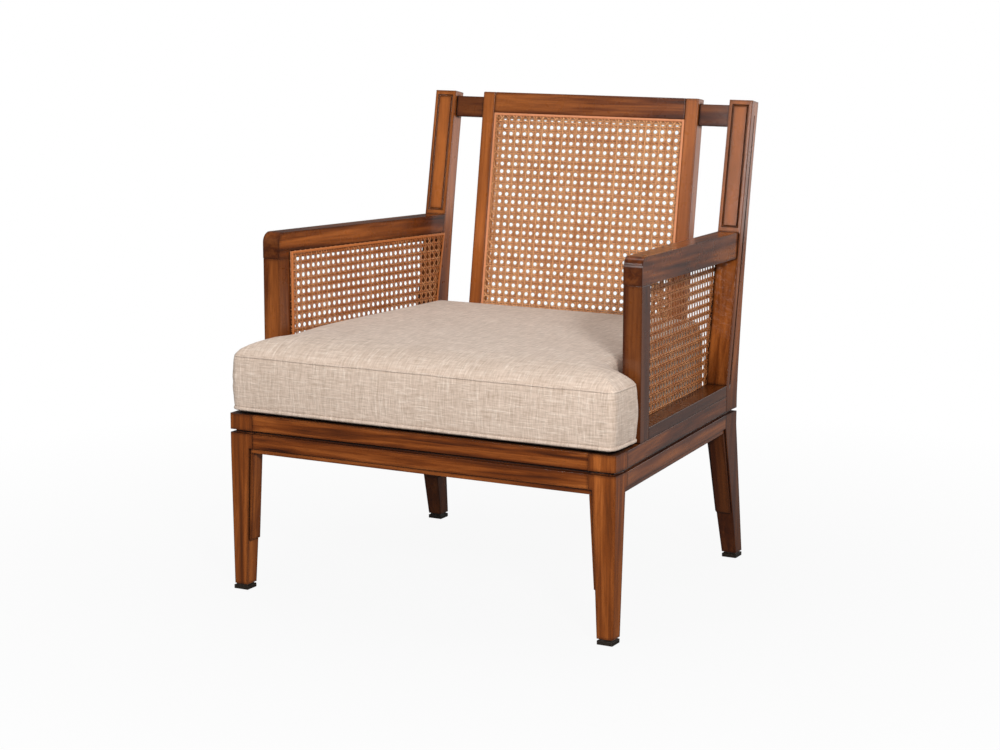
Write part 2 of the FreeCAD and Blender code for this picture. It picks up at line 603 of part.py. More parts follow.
both_sides("back_link", profile_body("back_link_body", [
    (panel_front(LINK_BOTTOM) + " + link_setback", LINK_BOTTOM),
    squared(panel_front(LINK_BOTTOM) + " + link_setback", LINK_BOTTOM, "link_thickness", PANEL_SLOPE),
    squared(panel_front(LINK_TOP) + " + link_setback", LINK_TOP, "link_thickness", PANEL_SLOPE),
    (panel_front(LINK_TOP) + " + link_setback", LINK_TOP)], PANEL_HALF, "%s - %s" % (REAR_INNER, PANEL_HALF)))

# Seat: ledges on the front and rear rails, slats between the rails, and blocks in the corners
SLAT_BOTTOM = "(%s - slat_thickness)" % RAIL_TOP
for label, leg, y0, y1 in (("front_cleat", BLOCK_INNER, "rail_thickness", "rail_thickness + cleat_width"),
                           ("rear_cleat", REAR_INNER, "%s - cleat_width" % REAR_RAIL_FRONT, REAR_RAIL_FRONT)):
    reach = "(%s - cleat_end)" % leg
    finish(label, slab_body(label + "_body", box_corners("-" + reach, reach, y0, y1),
                            "%s - cleat_height" % SLAT_BOTTOM, "cleat_height"))
SLAT_SPACING = "((%s - slat_edge - slat_width / 2) / 2)" % REAR_INNER
for number in range(5):
    middle = "(%d * %s)" % (number - 2, SLAT_SPACING)
    finish("seat_slat_%d" % (number + 1),
           slab_body("seat_slat_%d_body" % (number + 1),
                     box_corners(middle + " - slat_width / 2", middle + " + slat_width / 2", "rail_thickness",
                                 REAR_RAIL_FRONT), SLAT_BOTTOM, "slat_thickness"))


def rail_inner(y):
    return "(%s - rail_thickness)" % outer(y)


def corner_block(label, block_x, rail_y, leg_y, reach_y):
    """A block between a leg's inner faces and the two rails that meet there."""
    both_sides(label, slab_body(label + "_body", [
        (block_x + " - corner_reach", rail_y), (block_x, rail_y), (block_x, leg_y),
        (rail_inner(leg_y), leg_y), (rail_inner(reach_y), reach_y)], "rail_bottom", "corner_height"))


corner_block("front_corner_block", BLOCK_INNER, "rail_thickness", "block_width", "block_width + corner_reach")
corner_block("rear_corner_block", REAR_INNER, REAR_RAIL_FRONT, "rear_leg_setback",
             "rear_leg_setback - corner_reach")
doc.recompute()


def outer_x(y):
    share = (y - size("block_width")) / (size("rear_leg_setback") - size("block_width"))
    return half + (rear_half - half) * share


inner_front = outer_x(size("arm_post_setback")) - size("arm_post_width")
inner_rear = rear_half - size("post_width")
inner_slope = (inner_rear - inner_front) / (arm_reach - size("arm_post_setback"))


def inner_x(y):
    return inner_front + inner_slope * (y - size("arm_post_setback"))


def polygon(points):
    return Part.makePolygon([FreeCAD.Vector(*p) for p in points] + [FreeCAD.Vector(*points[0])])


def sheet_with(edge, gaps, thickness):
    """A flat sheet on an outline in the XZ plane, with gaps through it, as thick as given along +Y."""
    face = Part.makeFace([polygon([(x, 0, z) for x, z in edge])] + gaps, "Part::FaceMakerBullseye")
    return face.extrude(FreeCAD.Vector(0, thickness, 0))


def inside(point, edge, border):
    """Whether a point lies within a convex outline by at least a border."""
    for (x0, z0), (x1, z1) in zip(edge, edge[1:] + edge[:1]):
        length = math.hypot(x1 - x0, z1 - z0)
        if ((x1 - x0) * (point[1] - z0) - (z1 - z0) * (point[0] - x0)) / length < border:
            return False
    return True


def net_gaps(edge):
    """Eight-sided gaps in even rows, wherever a whole one fits inside the sheet's border."""
    pitch = size("net_pitch")
    radius = size("net_gap") / 2
    xs = [x for x, z in edge]
    zs = [z for x, z in edge]
    gaps = []
    across = int((max(xs) - min(xs)) / pitch)
    up = int((max(zs) - min(zs)) / pitch)
    for i in range(across + 1):
        for j in range(up + 1):
            x = (max(xs) + min(xs)) / 2 + (i - across / 2) * pitch
            z = (max(zs) + min(zs)) / 2 + (j - up / 2) * pitch
            if inside((x, z), edge, radius + size("net_border")):
                turns = [math.radians(45 * k + 22.5) for k in range(8)]
                gaps.append(polygon([(x + radius * math.cos(t), 0, z + radius * math.sin(t)) for t in turns]))
    return gaps


def shrunk(edge, inset):
    """A four-sided outline moved in on every side by the same amount."""
    lines = []
    for (x0, z0), (x1, z1) in zip(edge, edge[1:] + edge[:1]):
        length = math.hypot(x1 - x0, z1 - z0)
        lines.append((x0 - (z1 - z0) / length * inset, z0 + (x1 - x0) / length * inset, x1 - x0, z1 - z0))
    corners = []
    for (x0, z0, dx0, dz0), (x1, z1, dx1, dz1) in zip(lines[-1:] + lines[:-1], lines):
        share = ((x1 - x0) * dz1 - (z1 - z0) * dx1) / (dx0 * dz1 - dz0 * dx1)
        corners.append((x0 + dx0 * share, z0 + dz0 * share))
    return corners


def direct(label, shape, placement):
    made = doc.addObject("Part::Feature", label)
    made.Shape = shape
    made.Placement = placement
    made.Label = label
    nodes[label] = made
    return made


# Back cane: a flat sheet in the panel's opening, with its strip in front, both leaning with the panel
opening_half = rear_half - size("post_width") - size("panel_gap") - size("stile_width")
opening_bottom = rail_top + size("bottom_rail_height")
opening_up = (size("overall_height") - size("top_rail_height") - opening_bottom) * math.hypot(1, panel_slope)
back_edge = [(-opening_half, 0), (opening_half, 0), (opening_half, opening_up), (-opening_half, opening_up)]
back_lean = FreeCAD.Rotation(FreeCAD.Vector(-1, 0, 0), math.degrees(math.atan(panel_slope)))


def on_panel(recess):
    back = panel_foot + panel_slope * (opening_bottom - rail_top)
    foot = FreeCAD.Vector(0, back - depth / 2, opening_bottom)
    return FreeCAD.Placement(foot + back_lean.multVec(FreeCAD.Vector(0, recess, 0)), back_lean)


back_gaps = net_gaps(back_edge)
direct("back_cane", sheet_with(back_edge, back_gaps, size("cane_thickness")), on_panel(size("cane_recess")))
spline_hole = polygon([(x, 0, z) for x, z in shrunk(back_edge, size("spline_width"))])
direct("back_spline", sheet_with(back_edge, [spline_hole], size("spline_thickness")),
       on_panel(size("cane_recess") - size("spline_thickness")))

# Arm cane: a sheet on the inner faces of the arm's members, from behind the arm post's front to the rear post
turn = math.degrees(math.atan(inner_slope))
run = math.hypot(1, inner_slope)
cane_front = size("arm_post_setback") + size("arm_post_depth") - size("cane_lap")


def arm_under(y):
    return size("arm_front_top") + arm_slope * (y - size("arm_post_setback")) - size("arm_height")


def post_y(z):
    return size("rear_leg_setback") + post_slope * (z - sill_top)


cane_low = sill_top - size("cane_lap")
cane_high = arm_under(arm_reach) + size("cane_lap")
arm_edge = [(cane_front * run, cane_low), (post_y(cane_low) * run, cane_low), (post_y(cane_high) * run, cane_high),
            (cane_front * run, arm_under(cane_front) + size("cane_lap"))]
facing = FreeCAD.Rotation(FreeCAD.Vector(0, 0, 1), 90 - turn)


def on_arm(inset):
    """Where a sheet stands along the arm's inner side, so far in from the arm's face."""
    return FreeCAD.Placement(FreeCAD.Vector(inner_x(0) - inset * run, -depth / 2, 0), facing)


arm_gaps = net_gaps(arm_edge)
mirrored("arm_cane", direct("arm_cane_right", sheet_with(arm_edge, arm_gaps, size("cane_thickness")), on_arm(0)))
strip_hole = polygon([(x, 0, z) for x, z in shrunk(arm_edge, size("spline_width"))])
arm_strip_shape = sheet_with(arm_edge, [strip_hole], size("spline_thickness"))
mirrored("arm_spline", direct("arm_spline_right", arm_strip_shape, on_arm(size("cane_thickness"))))


# The cushion: a T in plan, with a flat underside, upright sides between two seams and a crowned top
def rounded(corners, radii, z):
    """A level wire through corners, each turned by an arc of its radius."""
    edges = []
    count = len(corners)
    points = [FreeCAD.Vector(x, y, z) for x, y in corners]
    ends = []
    for i, radius in enumerate(radii):
        before = (points[i - 1] - points[i]).normalize()
        after = (points[(i + 1) % count] - points[i]).normalize()
        reach = radius / math.tan(before.getAngle(after) / 2)
        middle = (before + after).normalize()
        centre = points[i] + middle * (radius / math.sin(before.getAngle(after) / 2))
        ends.append((points[i] + before * reach, centre - middle * radius, points[i] + after * reach))
    for i in range(count):
        edges.append(Part.Arc(*ends[i]).toShape())
        edges.append(Part.LineSegment(ends[i][2], ends[(i + 1) % count][0]).toShape())
    return Part.Wire(edges)


cushion_under = rail_top + size("cushion_clearance")
lower_seam = cushion_under + size("cushion_belly")
upper_seam = lower_seam + size("cushion_boxing")
side_room = size("cane_thickness") + size("spline_thickness") + size("cushion_side_gap")
cushion_front = size("cushion_front_setback")
ear_back = size("arm_post_setback") - size("cushion_post_gap")
cushion_rear = panel_foot - size("cushion_back_gap")
ear_half = half - size("cushion_side_setback")
centre_y = (cushion_front + cushion_rear) / 2


def cushion_section(z, inset, share):
    """The T at a height: its outline moved in by an inset, then drawn towards the middle by a share."""
    main_front = inner_x(ear_back) - side_room
    main_rear = inner_x(cushion_rear) - side_room
    right = [(ear_half - inset, cushion_front + inset), (ear_half - inset, ear_back - inset),
             (main_front - inset, ear_back - inset), (main_rear - inset, cushion_rear - inset)]
    corners = right + [(-x, y) for x, y in reversed(right)]
    corners = [(x * share, centre_y + (y - centre_y) * share - depth / 2) for x, y in corners]
    corner = size("cushion_corner") * share
    notch = size("cushion_notch") * share
    radii = [corner, corner, notch, corner, corner, notch, corner, corner]
    return rounded(corners, radii, z)


crown = size("cushion_crown")
draw = size("cushion_draw")
sections = [
    cushion_section(cushion_under, size("cushion_belly") + draw, 1),
    cushion_section(lower_seam, draw, 1),
    cushion_section((lower_seam + upper_seam) / 2, 0, 1),
    cushion_section(upper_seam, draw, 1),
]
CROWN_STEPS = [(24, 1, 0.42), (34, 1, 0.58), (0, 0.70, 0.83), (0, 0.52, 0.95), (0, 0.30, 1.0)]
for inset, width_share, height_share in CROWN_STEPS:
    sections.append(cushion_section(upper_seam + crown * height_share, draw + inset, width_share))
direct("seat_cushion", Part.makeLoft(sections, True, True), FreeCAD.Placement())

doc.recompute()
print("gaps in the back cane", len(back_gaps), "and in an arm's", len(arm_gaps))
for made in doc.Objects:
    for state in made.State:
        if state in ("Invalid", "Error"):
            raise RuntimeError("%s failed: %s" % (made.Label, made.getStatusString()))
for label, made in nodes.items():
    if made.Shape.isNull() or not made.Shape.isValid() or len(made.Shape.Solids) != 1:
        raise RuntimeError("%s has no single valid solid" % label)
os.makedirs("parts", exist_ok=True)
for label, made in nodes.items():
    made.Shape.exportStep("parts/%s.step" % label)
print(len(nodes), "pieces")
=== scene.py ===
"""Dresses the lounge armchair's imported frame: finished wood, woven cane and a soft T cushion.

Every length is in metres, in the frame's own axes: +Z up, the floor at Z = 0 and the front towards -Y.
"""
import json
import math
import bmesh
import bpy
import numpy as np
from mathutils import Matrix, Vector
from mathutils.bvhtree import BVHTree

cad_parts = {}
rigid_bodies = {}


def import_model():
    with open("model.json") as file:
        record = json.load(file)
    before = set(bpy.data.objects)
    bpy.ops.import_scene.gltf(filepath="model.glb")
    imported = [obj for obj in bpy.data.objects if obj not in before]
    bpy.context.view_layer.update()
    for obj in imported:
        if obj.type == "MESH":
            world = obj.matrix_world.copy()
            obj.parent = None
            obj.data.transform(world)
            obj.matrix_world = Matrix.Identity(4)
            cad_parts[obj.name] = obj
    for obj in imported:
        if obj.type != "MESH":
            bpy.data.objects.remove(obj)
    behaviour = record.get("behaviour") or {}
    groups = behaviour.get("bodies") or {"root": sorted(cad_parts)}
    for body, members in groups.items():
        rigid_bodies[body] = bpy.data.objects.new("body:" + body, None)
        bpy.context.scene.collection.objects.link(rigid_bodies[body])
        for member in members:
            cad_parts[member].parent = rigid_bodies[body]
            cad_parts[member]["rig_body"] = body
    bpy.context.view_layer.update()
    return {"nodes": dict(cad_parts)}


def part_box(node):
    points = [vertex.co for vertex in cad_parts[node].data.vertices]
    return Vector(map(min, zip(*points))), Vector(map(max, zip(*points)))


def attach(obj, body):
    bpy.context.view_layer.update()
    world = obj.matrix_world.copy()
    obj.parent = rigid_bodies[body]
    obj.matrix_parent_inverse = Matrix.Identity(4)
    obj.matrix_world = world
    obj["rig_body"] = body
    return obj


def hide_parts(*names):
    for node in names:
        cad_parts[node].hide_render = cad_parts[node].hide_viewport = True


bl_info = {
    "name": "Cane Armchair",
    "version": (1, 0, 0),
    "blender": (4, 5, 0),
    "location": "View3D > Sidebar > Armchair",
    "description": "Finishes a cane armchair around its packed frame",
    "category": "Object",
}

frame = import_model()
NODES = frame["nodes"]
SIDES = ("left", "right")


# Sizes and colours that a user may change

def colour(name, text, value):
    return bpy.props.FloatVectorProperty(name=name, description=text, default=value, size=3,
                                         min=0, max=1, subtype="COLOR")


def length(name, text, value):
    return bpy.props.FloatProperty(name=name, description=text, default=value, min=0, unit="LENGTH")


def angle(name, text, degrees):
    return bpy.props.FloatProperty(name=name, description=text, default=math.radians(degrees),
                                   subtype="ANGLE")


class WoodFinish(bpy.types.PropertyGroup):
    # Deep is also the painted shade on the rear legs below the seat
    deep: colour("Deep", "Stain in the darkest grain", (0.034, 0.008, 0.003))
    body: colour("Body", "Stain of most of the wood", (0.158, 0.036, 0.005))
    glow: colour("Glow", "Stain in the lightest streaks", (0.425, 0.124, 0.024))
    # The dark of glazed joints, and the painted shade in corners, grooves and recesses
    glaze_and_shade: colour("Glaze", "Dark glaze left in corners and joints", (0.010, 0.003, 0.002))
    ease: length("Ease", "Width of a sanded edge", 0.0009)
    corner: length("Corner", "Width of the round on a front leg", 0.0050)
    arm_edge: length("Arm edge", "Width of the round on an arm", 0.0025)
    roughness: bpy.props.FloatProperty(name="Roughness", description="How rough the lacquer is",
                                       default=0.26, min=0, max=1, subtype="FACTOR")


class CaneWeave(bpy.types.PropertyGroup):
    back_across: length("Back across", "Spacing of upright pairs in the back", 0.01415)
    back_upward: length("Back upward", "Spacing of level pairs in the back", 0.01425)
    arm_across: length("Arm across", "Spacing of upright pairs in the arms", 0.01446)
    arm_upward: length("Arm upward", "Spacing of level pairs in the arms", 0.0148)
    strand: length("Strand", "Width of one strand", 0.0034)
    diagonal: length("Diagonal", "Width of a diagonal strand", 0.0032)
    pair: length("Pair", "Spacing of the two strands of a pair", 0.0035)
    thickness: length("Thickness", "Thickness of a strand", 0.0007)
    lift: length("Lift", "How far a strand rises over another", 0.0005)
    skin: colour("Skin", "Outside of the cane", (0.940, 0.475, 0.215))
    # Made darker, this colour is also the painted shade along the strands' rims
    shade: colour("Shade", "Darker strands, and strips round the arms' cane", (0.480, 0.150, 0.038))
    strip: colour("Strip", "Strip round the back's cane", (0.720, 0.290, 0.140))


class CushionMake(bpy.types.PropertyGroup):
    crown: length("Crown", "Top above its seam", 0.0335)
    crown_run: length("Crown run", "How soon the top rises from its front seam", 0.034)
    pressed_run: length("Pressed run", "How soon it rises beside the arms and the back", 0.0055)
    belly: length("Belly", "Underside below its seam", 0.0076)
    side_bulge: length("Side bulge", "Boxing proud of its seams", 0.0030)
    voxel: length("Voxel", "Mesh size before the cloth is let go", 0.0055)
    move_cap: length("Movement cap", "How far the cloth may move a point", 0.0060)
    welt: length("Welt", "Radius of the cord in the upper seam", 0.0019)
    edge: length("Edge", "Radius of the cord in the lower seam", 0.0034)
    linen: colour("Linen", "Warp and weft", (0.655, 0.520, 0.425))
    slub: colour("Slub", "Thicker light threads", (0.880, 0.770, 0.660))
    # Dusk, made darker, is also the painted shade in the cushion's creases and seams
    dusk: colour("Dusk", "Darker threads", (0.360, 0.265, 0.195))


class StageSet(bpy.types.PropertyGroup):
    floor: colour("Floor", "Floor under the chair", (0.30, 0.30, 0.30))
    place: bpy.props.FloatVectorProperty(name="Camera", description="Where the camera stands", size=3,
                                         default=(1.8857, -3.5494, 1.0837), subtype="TRANSLATION")
    turn: angle("Turn", "Camera's turn to the left of straight back", 28.226)
    tilt: angle("Tilt", "Camera's tilt down", 10.248)
    roll: angle("Roll", "Camera's roll", -0.132)
    lens: bpy.props.FloatProperty(name="Lens", description="Focal length in millimetres", default=82.99,
                                  subtype="DISTANCE_CAMERA")


# Shader maths

class Socket:
    """A shader value that sums and products can be written on."""

    def __init__(self, board, socket):
        self.board = board
        self.socket = socket

    def __add__(self, other):
        return self.board.maths("ADD", self, other)

    def __sub__(self, other):
        return self.board.maths("SUBTRACT", self, other)

    def __rsub__(self, other):
        return self.board.maths("SUBTRACT", other, self)

    def __mul__(self, other):
        return self.board.maths("MULTIPLY", self, other)

    __radd__ = __add__
    __rmul__ = __mul__

    def ramp(self, low, high):
        """0 below low and 1 above high, or the other way round when low is the greater."""
        values = {"Value": self, "From Min": low, "From Max": high}
        return self.board.node("ShaderNodeMapRange", values=values)


# A mix node's sockets for blending colours
MIX_FACTOR, MIX_FIRST, MIX_SECOND, MIX_RESULT = 0, 6, 7, 2


class Board:
    """One material or world and the nodes that are laid on it."""

    def __init__(self, holder):
        self.holder = holder
        holder.use_nodes = True
        self.tree = holder.node_tree
        self.tree.nodes.clear()

    def node(self, kind, settings=None, values=None, out=0):
        """Adds a node, makes its settings, then fills its sockets with values or links."""
        made = self.tree.nodes.new(kind)
        for key, value in (settings or {}).items():
            if key == "stops":
                elements = made.color_ramp.elements
                while len(elements) < len(value):
                    elements.new(1)
                for element, (at, tint) in zip(elements, value):
                    element.position = at
                    element.color = (*tint, 1)
            else:
                setattr(made, key, value)
        for key, value in (values or {}).items():
            socket = made.inputs[key]
            if isinstance(value, Socket):
                self.tree.links.new(value.socket, socket)
            elif hasattr(value, "__len__") and socket.type == "RGBA":
                socket.default_value = (*value, 1)
            else:
                socket.default_value = value
        return Socket(self, made.outputs[out])

    def maths(self, operation, first, second):
        return self.node("ShaderNodeMath", {"operation": operation}, {0: first, 1: second})

    def vectors(self, operation, first, second=(0, 0, 0), out="Vector"):
        return self.node("ShaderNodeVectorMath", {"operation": operation}, {0: first, 1: second}, out)

    def carried(self, name, out="Fac"):
        """A number, or a Vector, that each point of the mesh carries."""
        return self.node("ShaderNodeAttribute", {"attribute_name": name}, out=out)

    def normal(self):
        return self.node("ShaderNodeNewGeometry", out="Normal")

    def place(self):
        return self.node("ShaderNodeTexCoord", out="Object")

    def ray(self, kind):
        """1 for rays of one kind, and 0 for the others."""
        return self.node("ShaderNodeLightPath", out="Is %s Ray" % kind)

    def hidden(self, distance, low, high):
        """1 in narrow corners and 0 in the open, between two shares of hidden sky."""
        sky = self.node("ShaderNodeAmbientOcclusion", {"samples": 6}, {"Distance": distance}, "AO")
        return (1 - sky).ramp(low, high)

    def mix(self, factor, first, second):
        """A blend of two colours: the second shows where the factor is 1."""
        values = {MIX_FACTOR: factor, MIX_FIRST: first, MIX_SECOND: second}
        return self.node("ShaderNodeMix", {"data_type": "RGBA"}, values, MIX_RESULT)

    def blend(self, factor, first, second):
        """The same for two shaders."""
        return self.node("ShaderNodeMixShader", values={0: factor, 1: first, 2: second})

    def colours(self, value, *stops):
        """A colour for each value, between stops that have a value and a colour each."""
        return self.node("ShaderNodeValToRGB", {"stops": stops}, {"Fac": value})

    def noise(self, place, size, detail, roughness=0.5, warp=0.0):
        return self.node("ShaderNodeTexNoise", values={"Vector": place, "Scale": size, "Detail": detail,
                                                       "Roughness": roughness, "Distortion": warp})

    def drawn(self, place, scale, detail, roughness=0.5, warp=0.0):
        """Noise with its own number of features per metre on each axis."""
        return self.noise(self.vectors("MULTIPLY", place, scale), 1, detail, roughness, warp)

    def grain(self, place, along, across, detail, roughness=0.5, warp=0.0):
        """Noise with so many features per metre along X, and so many across it."""
        return self.drawn(place, (along, across, across), detail, roughness, warp)

    def bump(self, height, strength, distance):
        values = {"Strength": strength, "Distance": distance, "Height": height}
        return self.node("ShaderNodeBump", values=values)

    def light(self, kind, strength):
        """A white glow, as an Emission or as a Background."""
        return self.node("ShaderNode" + kind, values={"Color": (1.0, 1.0, 1.0), "Strength": strength})

    def finished(self, shader, output="ShaderNodeOutputMaterial"):
        self.tree.links.new(shader.socket, self.tree.nodes.new(output).inputs["Surface"])
        return self.holder

    def surface(self, **sockets):
        """The finished surface, with underscores for the spaces in its sockets' names."""
        values = {key.replace("_", " "): value for key, value in sockets.items()}
        return self.finished(self.node("ShaderNodeBsdfPrincipled", values=values))


def darker(tint, part):
    return tuple(c * part for c in tint)


def wood_material(name, finish):
    """Stained and lacquered wood: darker at its edges and end grain, with glazed joints and painted
    shade in its corners and grooves.
    """
    board = Board(bpy.data.materials.new(name))
    place = board.carried("grain", "Vector")
    figure = board.grain(place, 2.2, 24, detail=3, roughness=0.55, warp=0.9)
    streak = board.grain(place, 5, 120, detail=4, roughness=0.65, warp=0.6)
    fibre = board.grain(place, 16, 420, detail=2, roughness=0.6)
    tone = figure.ramp(0.34, 0.66) * 0.60 + streak.ramp(0.34, 0.66) * 0.38 + fibre * 0.12
    stain = board.colours(tone, (0.12, finish.deep), (0.46, finish.body), (0.96, finish.glow))
    pores = board.grain(place, 45, 1500, detail=1).ramp(0.40, 0.33)
    stain = board.mix(pores * 0.35, stain, finish.deep)
    # Each board's lightness, which on the rear legs below the seat is painted shade
    lightness = board.carried("stain")
    stain = board.mix(lightness.ramp(0.5, 0.0) * 0.92, stain, finish.deep)
    stain = board.mix(lightness.ramp(0.5, 1.0) * 0.55, stain, finish.glow)
    facing = board.normal()
    end = board.vectors("DOT_PRODUCT", facing, board.carried("along", "Vector"), "Value")
    stain = board.mix((end * end).ramp(0.3, 0.9) * 0.62, stain, finish.deep)
    eased = board.node("ShaderNodeBevel", {"samples": 5}, {"Radius": 0.009})
    bend = board.vectors("DOT_PRODUCT", facing, eased, "Value")
    stain = board.mix((1 - bend).ramp(0.0, 0.13) * 0.72, stain, finish.deep)
    # How much sky nearby parts hide: glazed joints, and painted shade in corners, grooves and recesses
    crevice = board.hidden(0.007, 0.14, 0.42)
    stain = board.mix(crevice * 0.96, stain, finish.glaze_and_shade)
    wear = board.noise(place, 38, 2, 0.6).ramp(0.35, 0.75)
    return board.surface(Base_Color=stain, Roughness=wear * 0.08 + crevice * 0.4 + finish.roughness,
                         Coat_Weight=0.55 - crevice * 0.5, Coat_Roughness=0.11, Specular_IOR_Level=0.2,
                         Normal=board.bump(streak + fibre * 0.6, 0.12, 0.0006))


def raw_wood_material(name):
    """Plain unfinished board, for the pieces under the cushion."""
    board = Board(bpy.data.materials.new(name))
    place = board.carried("grain", "Vector")
    rings = board.grain(place, 1.5, 34, detail=4, roughness=0.6, warp=0.8)
    fibre = board.grain(place, 18, 500, detail=2, roughness=0.6)
    tint = board.colours(rings * 0.8 + fibre * 0.2, (0.25, (0.32, 0.19, 0.095)),
                         (0.55, (0.46, 0.30, 0.17)), (0.9, (0.60, 0.43, 0.27)))
    return board.surface(Base_Color=tint, Roughness=0.7, Normal=board.bump(fibre, 0.2, 0.0005))


def cane_material(name, weave, skin):
    """Varnished cane: strands of different tones with nodes and fine lines, and painted shade along
    their rims.
    """
    board = Board(bpy.data.materials.new(name))
    place = board.carried("grain", "Vector")
    own = board.carried("tone")
    along = board.grain(place, 9, 60, detail=3, roughness=0.6)
    lines = board.grain(place, 30, 2600, detail=1)
    tint = board.mix((along * 0.6 + own * 0.75 - 0.15).ramp(0.15, 0.95), weave.shade, skin)
    joint = board.grain(place, 22, 6, detail=1, roughness=0.4).ramp(0.70, 0.76)
    tint = board.mix(joint * 0.5, tint, weave.shade)
    # Painted shade along each strand's rims, darkest at its edges
    tint = board.mix(board.carried("rim").ramp(0.32, 0.85) * 0.96, tint, darker(weave.shade, 0.16))
    return board.surface(Base_Color=tint, Roughness=lines * 0.15 + 0.42, Coat_Weight=0.08,
                         Coat_Roughness=0.2, Normal=board.bump(lines, 0.15, 0.0003))


def linen_material(name, make):
    """Beige linen: thick and thin threads both ways, on whichever side of the cushion they lie, with
    painted shade in its creases.
    """
    board = Board(bpy.data.materials.new(name))
    place = board.place()
    facing = board.node("ShaderNodeSeparateXYZ", values={0: board.normal()}).socket.node.outputs

    def weft(axis, along, across, detail, roughness):
        """Threads that are closest together on one axis."""
        scale = tuple(across if other == axis else along for other in range(3))
        return board.drawn(place, scale, detail, roughness)

    light = 0
    dark = 0
    thread = 0
    for flat in range(3):
        turned = Socket(board, facing[flat])
        lies = turned * turned
        for axis in {0, 1, 2} - {flat}:
            slubs = weft(axis, 24, 270, detail=2, roughness=0.6)
            threads = weft(axis, 60, 560, detail=1, roughness=0.5)
            light = slubs.ramp(0.54, 0.72) * lies + light
            dark = slubs.ramp(0.47, 0.30) * lies + dark
            thread = threads * lies + thread
    cloud = board.noise(place, 9, 3, 0.6)
    tint = board.mix(dark * 0.35, make.linen, make.dusk)
    tint = board.mix(light * 0.42, tint, make.slub)
    tint = board.mix((thread - 0.80) * 1.1, tint, make.dusk)
    tint = board.mix(cloud.ramp(0.35, 0.7) * 0.12, tint, make.dusk)
    # Painted shade in creases, along the seams and where the cushion meets the frame
    tint = board.mix(board.hidden(0.006, 0.30, 0.80) * 0.65, tint, darker(make.dusk, 0.35))
    return board.surface(Base_Color=tint, Roughness=0.88, Sheen_Weight=0.15, Sheen_Roughness=0.5,
                         Normal=board.bump(thread + light * 0.8, 0.55, 0.0009))


def pad_material(name):
    """Near-black moulded pad with scuffs."""
    board = Board(bpy.data.materials.new(name))
    scuff = board.noise(board.place(), 260, 4, 0.65)
    tint = board.mix(scuff.ramp(0.5, 0.75) * 0.35, (0.016, 0.010, 0.006), (0.070, 0.045, 0.025))
    return board.surface(Base_Color=tint, Roughness=scuff * 0.2 + 0.42,
                         Normal=board.bump(scuff, 0.1, 0.0005))


def floor_material(name, tint):
    """Matt floor that the camera sees as nearly white, and mirror images as nearly black in front."""
    board = Board(bpy.data.materials.new(name))
    place = board.place()
    away = board.vectors("LENGTH", place, out="Value").ramp(0.4, 1.6)
    rearward = board.node("ShaderNodeSeparateXYZ", values={0: place}, out="Y").ramp(0.0, 0.9)
    matt = board.node("ShaderNodeBsdfDiffuse", values={"Color": tint})
    whiteness = board.ray("Camera") * (away * 0.07 + 0.93)
    seen = board.blend(whiteness, matt, board.light("Emission", 1.0))
    mirrored = board.ray("Glossy") * (0.97 - rearward * 0.90)
    return board.finished(board.blend(mirrored, seen, board.light("Emission", 0.08)))


def sky_light(world):
    """White to the camera, dim in mirror images and soft as light."""
    board = Board(world)
    level = board.ray("Camera") * 0.72 - board.ray("Glossy") * 0.18 + 0.28
    board.finished(board.light("Background", level), "ShaderNodeOutputWorld")


# Making pieces

def own_material(name, maker, *args):
    """A material made once and shared by the pieces that ask for it."""
    return bpy.data.materials.get(name) or maker(name, *args)


def linked(name, data):
    made = bpy.data.objects.new(name, data)
    bpy.context.scene.collection.objects.link(made)
    return made


def random_for(name):
    return np.random.default_rng(sum(ord(letter) * (place + 3) for place, letter in enumerate(name)))


def smooth_step(x):
    x = np.clip(x, 0, 1)
    return x * x * (3 - 2 * x)


def corners_of(mesh):
    points = np.empty(len(mesh.vertices) * 3, np.float32)
    mesh.vertices.foreach_get("co", points)
    return points.reshape(-1, 3).astype(float)


def move_corners(mesh, points):
    mesh.vertices.foreach_set("co", points.astype(np.float32).ravel())
    mesh.update()


def store(mesh, name, values):
    """Writes one number or one vector for each point."""
    values = np.asarray(values, np.float32)
    vectors = values.ndim == 2
    layer = mesh.attributes.new(name, "FLOAT_VECTOR" if vectors else "FLOAT", "POINT")
    layer.data.foreach_set("vector" if vectors else "value", values.ravel())


def shade_smooth(mesh):
    mesh.polygons.foreach_set("use_smooth", [True] * len(mesh.polygons))


# How light each board is coloured, from 0 to 1, by the first of these that is in its name; the rear
# legs' low value is painted shade below the seat
BOARD_LIGHTNESS = {"arm_post_right": 0.13, "arm_post": 0.30, "arm_sill": 0.06, "rear_leg": 0.10, "stile": 0.86,
          "front_leg": 0.60, "arm_rail": 0.42, "link": 0.16, "top_rail": 0.38, "side_rail": 0.40}
PLAIN_STAIN = 0.5
# The rear legs are darker below the seat as painted shade, and their posts are lighter above: how light,
# where the change starts and over what height it turns
POST_STAIN = 0.95
POST_START = 0.28
POST_TURN = 0.20


def grained(mesh, name):
    """Gives each point its place in the board it was sawn from, with X along the grain.

    It also gets the direction of the grain and how light the board is coloured there, which on the rear
    legs below the seat is painted shade.
    """
    points = corners_of(mesh)
    middle = points.mean(0)
    axes = np.linalg.svd(points - middle, full_matrices=False)[2]
    start = random_for(name).uniform(-20, 20, 3)
    store(mesh, "grain", (points - middle) @ axes.T + start)
    store(mesh, "along", np.tile(axes[0], (len(points), 1)))
    below = next((tone for kind, tone in BOARD_LIGHTNESS.items() if kind in name), PLAIN_STAIN)
    above = POST_STAIN if "rear_leg" in name else below
    turned = smooth_step((points[:, 2] - POST_START) / POST_TURN)
    store(mesh, "stain", below + (above - below) * turned)


def body_of(node):
    return NODES[node]["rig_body"]


